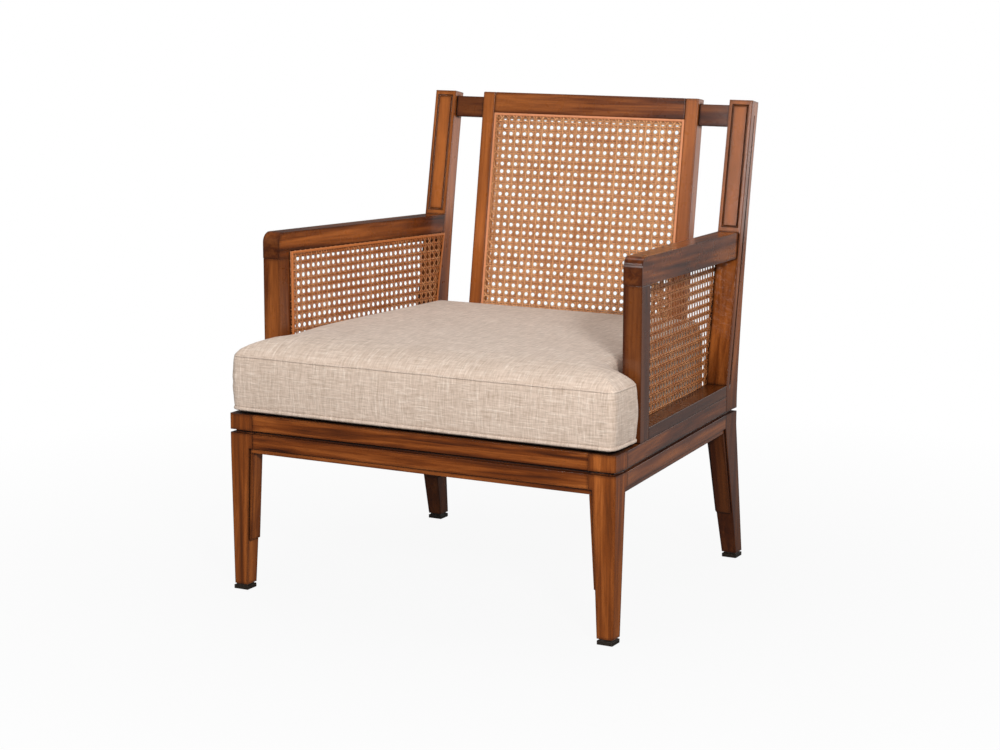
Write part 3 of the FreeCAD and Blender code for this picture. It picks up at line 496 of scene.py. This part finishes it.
def placed(name, mesh, material, body, replaced=()):
    """A finished object that rides on its body and stands for its nodes."""
    made = linked(name, mesh)
    mesh.materials.clear()
    mesh.materials.append(material)
    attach(made, body)
    if replaced:
        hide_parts(*replaced)
    return made


# The turn between two faces above which their edge is eased, and below which they become one face
SHARP = math.radians(25)
FLAT = math.radians(0.25)


def convex_edges(bm):
    return [e for e in bm.edges if len(e.link_faces) == 2 and e.is_convex
            and e.calc_face_angle(0) > SHARP]


def bevel(bm, edges, width, segments):
    bmesh.ops.bevel(bm, geom=edges, offset=width, offset_type="OFFSET", segments=segments, profile=0.5,
                    affect="EDGES", clamp_overlap=True)


def solid(node):
    """The node's solid, with points within 0.01 mm of each other made one."""
    bm = bmesh.new()
    bm.from_mesh(NODES[node].data)
    bmesh.ops.remove_doubles(bm, verts=bm.verts, dist=1e-5)
    return bm


def made_mesh(bm, name):
    mesh = bpy.data.meshes.new(name)
    bm.to_mesh(mesh)
    bm.free()
    return mesh


def eased_mesh(node, ease, rounds=()):
    """The node's solid with its flats made whole, some edges rounded and the rest sanded."""
    bm = solid(node)
    bmesh.ops.recalc_face_normals(bm, faces=bm.faces)
    bmesh.ops.dissolve_limit(bm, angle_limit=FLAT, verts=bm.verts, edges=bm.edges)
    for chosen, width in rounds:
        edges = [e for e in convex_edges(bm) if chosen(*[v.co for v in e.verts])]
        if edges:
            bevel(bm, edges, width, 5)
    bevel(bm, convex_edges(bm), ease, 2)
    bmesh.ops.triangulate(bm, faces=[f for f in bm.faces if len(f.verts) > 4])
    mesh = made_mesh(bm, node + "_eased")
    shade_smooth(mesh)
    return mesh


def wooden(scene, nodes, material=None, rounds=(), ease=None):
    """Replaces wooden nodes by sanded and finished pieces."""
    finish = scene.armchair_wood
    for node in nodes:
        mesh = eased_mesh(node, ease or finish.ease, rounds)
        grained(mesh, node)
        wood = material or own_material("stained_wood", wood_material, finish)
        piece = placed(node + "_finished", mesh, wood, body_of(node), [node])
        smooth = piece.modifiers.new("Even shading", "WEIGHTED_NORMAL")
        smooth.keep_sharp = True
        smooth.weight = 100


def pair(*names):
    """Each name on both sides."""
    return ["%s_%s" % (name, side) for name in names for side in SIDES]


def upright(a, b):
    return abs(a.z - b.z) > 3 * math.hypot(a.x - b.x, a.y - b.y)


# Woven cane

# A strand with less than this part of a cell inside the panel is left out
SHORTEST = 0.3


def distances(path):
    """How far along a path each of its points lies."""
    return np.concatenate([[0], np.cumsum(np.linalg.norm(np.diff(path, axis=0), axis=1))])


def leftward(side):
    """The unit direction to the left of a flat one."""
    return np.array([-side[1], side[0]]) / np.hypot(*side)


def clipped(start, direction, outline):
    """The stretch of a line inside a convex outline, as two distances along it, or None."""
    low = -math.inf
    high = math.inf
    for corner, following in zip(outline, np.roll(outline, -1, axis=0)):
        inward = leftward(following - corner)
        gap = inward @ (start - corner)
        rate = inward @ direction
        if abs(rate) < 1e-9:
            if gap < 0:
                return None
        elif rate > 0:
            low = max(low, -gap / rate)
        else:
            high = min(high, -gap / rate)
    return (low, high) if high - low > SHORTEST else None


# For each kind of panel: how far a crossing lies from its middle, across and upward, the slope of its
# rows and columns, and what is added to its strands' tone
# The arms' strands are made darker, partly as painted shade
WEAVE_LAYS = {"back": {"shift": (0.0041, 0.0024), "lean": 0.0, "lighter": 0.10},
              "arm": {"shift": (0.0, 0.0), "lean": -0.0203, "lighter": -0.38}}
# How far a strand wanders from its line
WANDER = 0.00012
# The two strands along each edge: their inset, the gap at their ends, their depth and relative width
EDGE_INSET = 0.0045
EDGE_SHORT = 0.004
EDGE_DEPTH = 0.0004
EDGE_WIDTH = 0.97


class StrandMesh:
    """Gathers flat strands that follow paths over a panel."""

    def __init__(self, rng, lighter):
        self.rng = rng
        self.lighter = lighter
        self.points = []
        self.faces = []
        self.grain = []
        self.tone = []
        self.rim = []

    def add(self, path, side, width, thickness):
        """One strand: path has (u, v, w) points and side is the direction across it."""
        across = np.array([side[0], side[1], 0.0]) * width / 2
        out = np.array([0.0, 0.0, thickness / 2])
        first = sum(len(p) for p in self.points)
        path = np.asarray(path)
        self.points.append(np.concatenate([path + r for r in (across, out, -across, -out)]))
        count = len(path)
        run = distances(path)
        shift = self.rng.uniform(-30, 30, 3)
        for spread, lift in ((0.5, 0.0), (0.0, 0.5), (-0.5, 0.0), (0.0, -0.5)):
            beside = np.full(count, spread * width)
            above = np.full(count, lift * thickness)
            self.grain.append(np.stack([run, beside, above], 1) + shift)
        self.tone.append(np.full(count * 4, self.rng.uniform(0.15, 0.95) + self.lighter))
        # Rim is 1 at a strand's edges and 0 along its top and underside, for the painted shade at its
        # rims
        self.rim.append(np.repeat([1.0, 0.0, 1.0, 0.0], count))
        for number in range(4):
            a = first + number * count
            b = first + (number + 1) % 4 * count
            self.faces += [(a + i, a + i + 1, b + i + 1, b + i) for i in range(count - 1)]
        ends = [first + number * count for number in range(4)]
        self.faces.append(tuple(ends))
        self.faces.append(tuple(e + count - 1 for e in reversed(ends)))

    def mesh(self, name, place):
        """The strands as one mesh, put in place by a matrix."""
        points = np.concatenate(self.points)
        turned = points @ np.array(place.to_3x3()).T + np.array(place.translation)
        mesh = bpy.data.meshes.new(name)
        mesh.from_pydata(turned.tolist(), [], self.faces)
        store(mesh, "grain", np.concatenate(self.grain))
        store(mesh, "tone", np.concatenate(self.tone))
        store(mesh, "rim", np.concatenate(self.rim))
        shade_smooth(mesh)
        mesh.update()
        return mesh


def waves(level, swing, axis):
    """A strand's height over the sheet: one wave to each cell along an axis."""
    return lambda spots: level + swing * np.cos(2 * math.pi * spots[:, axis])


def woven(name, outline, weave, place, pitch, lay):
    """A panel of six-way cane: pairs across and upright, and diagonals over and under them.

    The lines are laid out in cells, one from hole to hole, and pairs cross at whole numbers of them.
    """
    rng = random_for(name)
    strands = StrandMesh(rng, lay["lighter"])
    pitch = np.array(pitch)
    grid = np.array([[1.0, lay["lean"]], [lay["lean"], 1.0]]) * pitch[:, None]
    origin = (outline.min(0) + outline.max(0)) / 2 + lay["shift"]
    cells = (outline - origin) @ np.linalg.inv(grid)
    reach = int(np.abs(cells).max()) + 2

    def strand(start, direction, step, height, width):
        """One strand, with a point at each step of a cell."""
        start = np.array(start)
        direction = np.array(direction)
        stretch = clipped(start, direction, cells)
        if stretch is None:
            return
        inner = np.arange(math.ceil(stretch[0] / step), math.floor(stretch[1] / step) + 1) * step
        runs = np.concatenate([[stretch[0]], inner, [stretch[1]]])
        across = leftward(direction @ grid)
        spots = start + runs[:, None] * direction
        flat = origin + spots @ grid + across * rng.normal(0, WANDER, len(runs))[:, None]
        strands.add(np.column_stack([flat, height(spots)]), across, width, weave.thickness)

    for number in range(-reach, reach + 1):
        for side in (-0.5, 0.5):
            beside = side * weave.pair / pitch
            rise = side * weave.lift * 0.7
            strand((number + beside[0], 0.0), (0.0, 1.0), 0.5, waves(rise, rise, 1), weave.strand)
            strand((0.0, number + beside[1]), (1.0, 0.0), 1.0, waves(0.0, 0.0, 0), weave.strand)
    for turn in (1.0, -1.0):
        rise = turn * weave.lift * 1.5
        for number in range(-2 * reach, 2 * reach + 1):
            strand((number + 0.5, 0.0), (1.0, turn), 0.25, waves(0.0, rise, 0), weave.diagonal)
    for corner, following in zip(outline, np.roll(outline, -1, axis=0)):
        side = (following - corner) / np.hypot(*(following - corner))
        inward = leftward(side)
        for row in range(2):
            depth = inward * (weave.strand * (row + 0.5) + EDGE_INSET)
            ends = np.array([corner + depth + side * EDGE_SHORT, following + depth - side * EDGE_SHORT])
            flat = np.column_stack([ends, np.full(2, -EDGE_DEPTH)])
            strands.add(flat, inward, weave.strand * EDGE_WIDTH, weave.thickness)
    return strands.mesh(name, place)


def sheet_frame(node):
    """A flat sheet's points on its own axes, and the matrix that puts them back in place.

    U runs level, V runs up the sheet and W is its normal.
    """
    points = corners_of(NODES[node].data)
    middle = points.mean(0)
    normal = Vector(np.linalg.svd(points - middle, full_matrices=False)[2][2])
    level = normal.cross(Vector((0, 0, 1))).normalized()
    if level.x < 0 or (abs(level.x) < 0.5 and level.y < 0):
        level = -level
    up = level.cross(normal).normalized()
    if up.z < 0:
        up = -up
    out = level.cross(up)
    place = Matrix.Translation(Vector(middle)) @ Matrix((level, up, out)).transposed().to_4x4()
    flat = (points - middle) @ np.array([level, up]).T
    return flat, place


def hull(flat):
    """The convex outline of flat points, turning to the left."""
    points = sorted(set(map(tuple, np.round(flat, 5))))

    def turn(a, b, c):
        """Above 0 where c lies to the left of the way from a to b."""
        return (b[0] - a[0]) * (c[1] - a[1]) - (b[1] - a[1]) * (c[0] - a[0])

    def half(ordered):
        kept = []
        for p in ordered:
            while len(kept) > 1 and turn(kept[-2], kept[-1], p) <= 1e-9:
                kept.pop()
            kept.append(p)
        return kept[:-1]

    return np.array(half(points) + half(points[::-1]))


# The cushion

# Steps in a rounded corner of the plan, and sides of a cord
ARC_STEPS = 8
CORD_SIDES = 8


def rounded_outline(corners, radii, spacing):
    """Points at an even spacing along a closed line through corners that are turned by arcs."""
    points = []
    count = len(corners)
    for i, radius in enumerate(radii):
        here = Vector(corners[i])
        before = (Vector(corners[i - 1]) - here).normalized()
        after = (Vector(corners[(i + 1) % count]) - here).normalized()
        half = before.angle(after) / 2
        centre = here + (before + after).normalized() * radius / math.sin(half)
        first = here + before * radius / math.tan(half) - centre
        last = here + after * radius / math.tan(half) - centre
        for step in range(ARC_STEPS + 1):
            points.append(centre + first.slerp(last, step / ARC_STEPS).normalized() * radius)
    closed = np.array([tuple(p) for p in points] + [tuple(points[0])])
    runs = distances(closed)
    number = int(runs[-1] / spacing)
    at = np.arange(number) * runs[-1] / number
    return np.stack([np.interp(at, runs, closed[:, 0]), np.interp(at, runs, closed[:, 1])], 1)


def nearest_on(points, outline, closed=True):
    """How far each point in plan is from an outline, closed or open, and the nearest spot on it."""
    best = np.full(len(points), np.inf)
    spot = np.zeros((len(points), 2))
    for a, b in zip(outline, np.roll(outline, -1, axis=0) if closed else outline[1:]):
        side = b - a
        along = np.clip(((points - a) @ side) / (side @ side), 0, 1)
        near = a + along[:, None] * side
        gap = np.linalg.norm(points - near, axis=1)
        closer = gap < best
        best[closer] = gap[closer]
        spot[closer] = near[closer]
    return best, spot


def tube(name, path, radius):
    """A closed cord along a ring of points."""
    count = len(path)
    forward = np.roll(path, -1, axis=0) - np.roll(path, 1, axis=0)
    forward /= np.linalg.norm(forward, axis=1)[:, None]
    across = np.cross(forward, np.array([0.0, 0.0, 1.0]))
    across /= np.linalg.norm(across, axis=1)[:, None]
    up = np.cross(across, forward)
    points = []
    faces = []
    for i in range(count):
        a = i * CORD_SIDES
        b = (i + 1) % count * CORD_SIDES
        for k in range(CORD_SIDES):
            turn = 2 * math.pi * k / CORD_SIDES
            points.append(path[i] + radius * (math.cos(turn) * across[i] + math.sin(turn) * up[i]))
            after = (k + 1) % CORD_SIDES
            faces.append((a + k, b + k, b + after, a + after))
    mesh = bpy.data.meshes.new(name)
    mesh.from_pydata([tuple(p) for p in points], [], faces)
    shade_smooth(mesh)
    return mesh


def applied(thing):
    """The object's mesh with its modifiers worked in."""
    seen = thing.evaluated_get(bpy.context.evaluated_depsgraph_get())
    return bpy.data.meshes.new_from_object(seen)


# Operators

class Dressing:
    """What every operator here shares."""
    bl_options = {"REGISTER", "UNDO"}

    def execute(self, context):
        self.make(context.scene)
        return {"FINISHED"}


class ARMCHAIR_OT_legs(Dressing, bpy.types.Operator):
    """Finishes the four legs, with the rear posts, and softens their outer corners"""
    bl_idname = "armchair.legs"
    bl_label = "Legs and Posts"

    def make(self, scene):
        low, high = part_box("front_leg_right")

        def outer_corner(a, b):
            middle = (a + b) / 2
            return upright(a, b) and math.hypot(abs(middle.x) - high.x, middle.y - low.y) < 0.012

        wooden(scene, pair("front_leg"), rounds=[(outer_corner, scene.armchair_wood.corner)])
        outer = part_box("rear_leg_right")[1].x
        round_width = 0.0022

        def outer_edge(a, b):
            off = max(abs(abs(a.x) - outer), abs(abs(b.x) - outer))
            return upright(a, b) and off < 0.0005 and (a - b).length > 0.04

        wooden(scene, pair("rear_leg"), rounds=[(outer_edge, round_width)], ease=0.0016)


class ARMCHAIR_OT_rails(Dressing, bpy.types.Operator):
    """Finishes the four rails of the seat frame"""
    bl_idname = "armchair.rails"
    bl_label = "Seat Rails"

    def make(self, scene):
        wooden(scene, ["front_rail", "rear_rail"] + pair("side_rail"))


class ARMCHAIR_OT_strips(Dressing, bpy.types.Operator):
    """Finishes the strips under the rails and on the legs"""
    bl_idname = "armchair.strips"
    bl_label = "Beads and Liners"

    def make(self, scene):
        liners = pair("front_leg_cross_liner", "front_leg_side_liner", "rear_leg_cross_liner",
                      "rear_leg_side_liner")
        wooden(scene, ["front_bead", "rear_bead"] + pair("side_bead") + liners)


class ARMCHAIR_OT_arms(Dressing, bpy.types.Operator):
    """Finishes the arms, their posts and the rails under their cane"""
    bl_idname = "armchair.arms"
    bl_label = "Arms"

    def make(self, scene):
        low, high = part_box("arm_rail_right")
        upper_part = low.z + (high.z - low.z) * 0.4

        def upper_edge(a, b):
            return min(a.z, b.z) > upper_part and abs(a.y - b.y) > 0.3

        wooden(scene, pair("arm_rail"), rounds=[(upper_edge, scene.armchair_wood.arm_edge)])
        wooden(scene, pair("arm_post", "arm_sill"), ease=0.0012)


class ARMCHAIR_OT_back(Dressing, bpy.types.Operator):
    """Finishes the back panel's frame and the links that hold it"""
    bl_idname = "armchair.back"
    bl_label = "Back Panel"

    def make(self, scene):
        panel = ["back_top_rail", "back_bottom_rail"] + pair("back_stile", "back_link")
        wooden(scene, panel, ease=0.0016)


class ARMCHAIR_OT_seat(Dressing, bpy.types.Operator):
    """Finishes the slats, ledges and corner blocks under the cushion"""
    bl_idname = "armchair.seat"
    bl_label = "Seat Support"

    def make(self, scene):
        raw = own_material("raw_wood", raw_wood_material)
        slats = ["seat_slat_%d" % number for number in range(1, 6)]
        blocks = pair("front_corner_block", "rear_corner_block")
        wooden(scene, slats + ["front_cleat", "rear_cleat"] + blocks, material=raw,
               ease=0.0015)


class ARMCHAIR_OT_pads(Dressing, bpy.types.Operator):
    """Finishes the dark pads under the feet"""
    bl_idname = "armchair.pads"
    bl_label = "Foot Pads"

    def make(self, scene):
        dark = own_material("dark_pad", pad_material)
        wooden(scene, pair("front_glide", "rear_glide"), material=dark, ease=0.0008)


class ARMCHAIR_OT_cane(Dressing, bpy.types.Operator):
    """Weaves the cane of the back and the arms, strand by strand"""
    bl_idname = "armchair.cane"
    bl_label = "Woven Cane"

    def make(self, scene):
        weave = scene.armchair_cane
        cane = own_material("cane_skin", cane_material, weave, weave.skin)
        for node in ["back_cane"] + pair("arm_cane"):
            flat, place = sheet_frame(node)
            part = node.split("_")[0]
            pitch = (getattr(weave, part + "_across"), getattr(weave, part + "_upward"))
            mesh = woven(node + "_weave", hull(flat), weave, place, pitch, WEAVE_LAYS[part])
            placed(node + "_weave", mesh, cane, body_of(node), [node])


class ARMCHAIR_OT_cane_strips(Dressing, bpy.types.Operator):
    """Rounds the strips that hold the cane's edges"""
    bl_idname = "armchair.cane_strips"
    bl_label = "Cane Strips"

    def make(self, scene):
        weave = scene.armchair_cane
        # The arms' strips take the darker colour, partly as painted shade beside the arm posts
        strips = {"back": own_material("cane_strip_skin", cane_material, weave, weave.strip),
                  "arm": own_material("dark_strip_skin", cane_material, weave, weave.shade)}
        for node in ["back_spline"] + pair("arm_spline"):
            mesh = eased_mesh(node, ease=0.0012)
            grained(mesh, node)
            store(mesh, "tone", np.full(len(mesh.vertices), 0.7))
            strip = strips[node.split("_")[0]]
            placed(node + "_rounded", mesh, strip, body_of(node), [node])


# How far the seams lie above the cushion's underside and below its top
LOWER_SEAM = 0.008
UPPER_SEAM = 0.034
# The cushion's room in front of the arm posts and beside the arms
POST_ROOM = 0.006
ARM_ROOM = 0.007
# A rear post's width, and how far back from the arm post's front its inner face starts
REAR_POST_WIDTH = 0.044
ARM_RUN = 0.4985
# Radii of the T's corners on one side, from the front to the rear, and the step between plan points
PLAN_RADII = [0.011, 0.011, 0.009, 0.020]
PLAN_STEP = 0.006
# The height over which the boxing turns into the top and into the underside
TOP_TURN = 0.004
BASE_TURN = 0.003
# How far in the underside reaches its full depth, and how far the seams pull in, as a part of the bulge
BELLY_RUN = 0.018
SEAM_PULL = 0.6
# The part of the cover beside a seam that the cloth holds, in height and inward
HELD_HEIGHT = 0.004
HELD_DEPTH = 0.006
CLOTH_FRAMES = 20
# The crease along a seam: its depth and how wide it is
CREASE_DEPTH = 0.0016
CREASE_WIDTH = 0.0045
# How far the cords wander up and down, at how many places, and how often their path is smoothed
CORD_WANDER = 0.0003
CORD_PLACES = 60
CORD_PASSES = 3


class ARMCHAIR_OT_cushion(Dressing, bpy.types.Operator):
    """Sews and fills the loose T cushion: crowned top, drawn-in seams and a welt along each seam"""
    bl_idname = "armchair.cushion"
    bl_label = "T Cushion"

    def make(self, scene):
        self.form = scene.armchair_cushion
        low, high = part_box("seat_cushion")
        self.under = low.z
        self.lower = low.z + LOWER_SEAM
        self.upper = high.z - UPPER_SEAM
        self.outline = self.plan(low, high)
        linen = own_material("slubbed_linen", linen_material, self.form)
        body = placed("seat_cushion_cover", self.filled(), linen, "cushion", ["seat_cushion"])
        self.welts(body, linen)

    def plan(self, low, high):
        """The T's outline in plan, clear of the arm posts, the cane strips and the back panel.

        Its front and ears are its free edge, and the rest is pressed by the arms and the back.
        """
        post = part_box("arm_post_right")[0]
        notch_y = post.y - POST_ROOM
        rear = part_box("rear_leg_right")[1].x - REAR_POST_WIDTH
        taper = (post.x - rear) / ARM_RUN
        notch_x = post.x + taper * POST_ROOM - ARM_ROOM
        back_x = post.x - taper * (high.y - post.y) - ARM_ROOM
        right = [(high.x, low.y), (high.x, notch_y), (notch_x, notch_y), (back_x, high.y)]
        corners = right + [(-x, y) for x, y in reversed(right)]
        outline = rounded_outline(corners, PLAN_RADII + PLAN_RADII[::-1], PLAN_STEP)
        free = outline[:, 1] < notch_y - 0.001
        first = int(np.nonzero(free & ~np.roll(free, 1))[0][0])
        around = np.roll(outline, -first, axis=0)
        self.free_edge = around[:free.sum()]
        self.pressed_edge = np.concatenate([around[free.sum() - 1:], around[:1]])
        return outline

    def outward(self, points):
        """For each point: how far it is from the outline in plan, and the direction to it."""
        inside, near = nearest_on(points[:, :2], self.outline)
        away = near - points[:, :2]
        size = np.linalg.norm(away, axis=1)[:, None]
        return inside, np.where(size > 1e-6, away / np.maximum(size, 1e-6), 0)

    def shaped(self, points):
        """Moves the remeshed solid's points onto the sewn form."""
        form = self.form
        inside, away = self.outward(points)
        height = points[:, 2].copy()
        top = smooth_step((height - self.upper) / TOP_TURN)
        free = nearest_on(points[:, :2], self.free_edge, False)[0]
        pressed = nearest_on(points[:, :2], self.pressed_edge, False)[0]
        rise = (1 - np.exp(-free / form.crown_run)) * (1 - np.exp(-pressed / form.pressed_run))
        crowned = self.upper + form.crown * rise
        base = smooth_step((self.lower - height) / BASE_TURN)
        sunk = self.lower - form.belly * smooth_step(inside / BELLY_RUN)
        points[:, 2] = height * (1 - top) * (1 - base) + crowned * top + sunk * base
        boxing = (1 - top) * (1 - base)
        level = np.clip((height - self.lower) / (self.upper - self.lower), 0, 1)
        swell = form.side_bulge * np.sin(math.pi * level) - form.side_bulge * SEAM_PULL
        points[:, :2] += away * (boxing * (inside + swell))[:, None]
        return points

    def filled(self):
        """The cover after it is filled: remeshed, shaped and let go as cloth under pressure."""
        work = linked("cushion_work", made_mesh(solid("seat_cushion"), "cushion_rough"))
        remesh = work.modifiers.new("Even mesh", "REMESH")
        remesh.mode = "VOXEL"
        remesh.voxel_size = self.form.voxel
        shell = applied(work)
        work.modifiers.clear()
        work.data = shell
        points = self.shaped(corners_of(shell))
        move_corners(shell, points)
        self.blow(work, points)
        bpy.data.objects.remove(work)
        return self.seamed(shell)

    def blow(self, work, start):
        """Lets the cover go as cloth, held at its seams and underneath, and caps how far it goes."""
        inside = nearest_on(start[:, :2], self.outline)[0]
        height = start[:, 2]
        above = np.abs(height - self.upper) < HELD_HEIGHT
        below = np.abs(height - self.lower) < HELD_HEIGHT
        held = ((above | below) & (inside < HELD_DEPTH)) | (height < self.lower)
        group = work.vertex_groups.new(name="held")
        group.add(np.nonzero(held)[0].tolist(), 1.0, "REPLACE")
        cloth = work.modifiers.new("Cloth", "CLOTH").settings
        cloth.quality = 4
        cloth.mass = 0.35
        cloth.use_pressure = True
        cloth.uniform_pressure_force = 4
        cloth.effector_weights.gravity = 0
        cloth.tension_stiffness = 22
        cloth.compression_stiffness = 22
        cloth.bending_stiffness = 1.2
        cloth.vertex_group_mass = "held"
        for number in range(1, CLOTH_FRAMES + 1):
            bpy.context.scene.frame_set(number)
        moved = corners_of(applied(work)) - start
        bpy.context.scene.frame_set(1)
        work.modifiers.clear()
        size = np.linalg.norm(moved, axis=1)
        cap = self.form.move_cap
        scale = np.where(size > 1e-9, cap * np.tanh(size / cap) / np.maximum(size, 1e-9), 0)
        points = start + moved * scale[:, None]
        points[:, 2] = np.maximum(points[:, 2], self.under)
        move_corners(work.data, points)

    def seamed(self, shell):
        """One subdivision, then a narrow crease along both seams."""
        work = linked("cushion_fine", shell)
        work.modifiers.new("Finer", "SUBSURF").levels = 1
        fine = applied(work)
        bpy.data.objects.remove(work)
        points = corners_of(fine)
        inside, away = self.outward(points)
        for seam in (self.upper, self.lower):
            gap = np.hypot(points[:, 2] - seam, inside)
            dent = CREASE_DEPTH * np.exp(-(gap / CREASE_WIDTH) ** 2)
            points[:, :2] -= away * dent[:, None]
        shade_smooth(fine)
        move_corners(fine, points)
        return fine

    def welts(self, body, linen):
        """A thin covered cord along each seam, laid on the finished cover."""
        bm = bmesh.new()
        bm.from_mesh(body.data)
        tree = BVHTree.FromBMesh(bm)
        bm.free()
        rng = random_for("welts")
        number = len(self.outline)
        cords = (("upper", self.upper, self.form.welt, 0.2), ("lower", self.lower, self.form.edge, 0.5))
        for name, seam, radius, proud in cords:
            drifts = np.append(rng.normal(0, CORD_WANDER, CORD_PLACES - 1), 0.0)
            wander = np.interp(np.arange(number), np.linspace(0, number, CORD_PLACES), drifts)
            path = []
            for (x, y), drift in zip(self.outline, wander):
                spot, normal = tree.find_nearest(Vector((x, y, seam + drift)))[:2]
                path.append(tuple(spot + normal * radius * proud))
            path = np.array(path)
            for turn in range(CORD_PASSES):
                path = (np.roll(path, 1, axis=0) + 2 * path + np.roll(path, -1, axis=0)) / 4
            mesh = tube("cushion_welt_" + name, path, radius)
            welt = placed("cushion_welt_" + name, mesh, linen, "cushion")


# Each lamp's name, place, width, height and power in watts, and the spot they all face
LAMPS = (("key", (2.68, -3.06, 2.1), 0.6, 0.6, 118), ("fill", (0.2, -4.2, 2.1), 3.0, 2.4, 46),
         ("side", (3.0, -1.3, 1.05), 0.35, 1.6, 9), ("top", (0.2, 0.6, 3.2), 2.2, 2.2, 27),
         ("rim", (2.2, 3.2, 1.4), 2.6, 2.6, 27), ("veil", (-0.72, -3.05, 1.48), 0.5, 0.8, 14),
         ("nose", (-1.5, -3.0, 3.1), 0.25, 0.25, 8))
LAMP_AIM = Vector((0, 0, 0.4))


class ARMCHAIR_OT_stage(Dressing, bpy.types.Operator):
    """Sets the floor, the lights and the camera"""
    bl_idname = "armchair.stage"
    bl_label = "Stage"

    def make(self, scene):
        stage = scene.armchair_stage
        bm = bmesh.new()
        bmesh.ops.create_grid(bm, x_segments=8, y_segments=8, size=14)
        floor = linked("floor", made_mesh(bm, "floor"))
        floor.data.materials.append(own_material("pale_floor", floor_material, stage.floor))
        scene.world = bpy.data.worlds.new("studio")
        sky_light(scene.world)
        for name, place, width, height, power in LAMPS:
            self.lamp(name, Vector(place), width, height, power)
        self.camera(scene, stage)

    def lamp(self, name, place, width, height, power):
        light = bpy.data.lights.new(name, "AREA")
        light.shape = "RECTANGLE"
        light.size = width
        light.size_y = height
        light.energy = power
        lamp = linked(name, light)
        # The key's mirror image would turn the arms' tops white from behind
        lamp.visible_glossy = name != "key"
        lamp.location = place
        lamp.rotation_euler = (LAMP_AIM - place).to_track_quat("-Z", "Y").to_euler()

    def camera(self, scene, stage):
        """A camera at the photograph's place, turned, tilted and rolled as it was."""
        data = bpy.data.cameras.new("camera")
        data.sensor_width = 36
        data.lens = stage.lens
        camera = linked("camera", data)
        turned = Matrix.Rotation(stage.turn, 4, "Z")
        tilted = Matrix.Rotation(math.pi / 2 - stage.tilt, 4, "X")
        rolled = Matrix.Rotation(-stage.roll, 4, "Z")
        camera.matrix_world = Matrix.Translation(stage.place) @ turned @ tilted @ rolled
        scene.camera = camera


GROUPS = (("armchair_wood", WoodFinish), ("armchair_cane", CaneWeave), ("armchair_cushion", CushionMake),
          ("armchair_stage", StageSet))
STEPS = (ARMCHAIR_OT_stage, ARMCHAIR_OT_legs, ARMCHAIR_OT_rails, ARMCHAIR_OT_strips, ARMCHAIR_OT_arms,
         ARMCHAIR_OT_back, ARMCHAIR_OT_seat, ARMCHAIR_OT_pads, ARMCHAIR_OT_cane, ARMCHAIR_OT_cane_strips,
         ARMCHAIR_OT_cushion)


class ARMCHAIR_PT_panel(bpy.types.Panel):
    """Lists the steps and their settings"""
    bl_idname = "ARMCHAIR_PT_panel"
    bl_label = "Cane Armchair"
    bl_space_type = "VIEW_3D"
    bl_region_type = "UI"
    bl_category = "Armchair"

    def draw(self, context):
        for step in STEPS:
            self.layout.operator(step.bl_idname)
        for name, group in GROUPS:
            box = self.layout.box()
            for setting in group.__annotations__:
                box.prop(getattr(context.scene, name), setting)


CLASSES = [group for name, group in GROUPS] + list(STEPS) + [ARMCHAIR_PT_panel]


def register():
    for made in CLASSES:
        bpy.utils.register_class(made)
    for name, group in GROUPS:
        setattr(bpy.types.Scene, name, bpy.props.PointerProperty(type=group))


def unregister():
    for name, group in GROUPS:
        delattr(bpy.types.Scene, name)
    for made in reversed(CLASSES):
        bpy.utils.unregister_class(made)


def main():
    register()
    scene = bpy.context.scene
    scene.view_settings.view_transform = "Standard"
    for step in STEPS:
        getattr(bpy.ops.armchair, step.bl_idname.split(".")[1])()


if __name__ == "__main__":
    main()
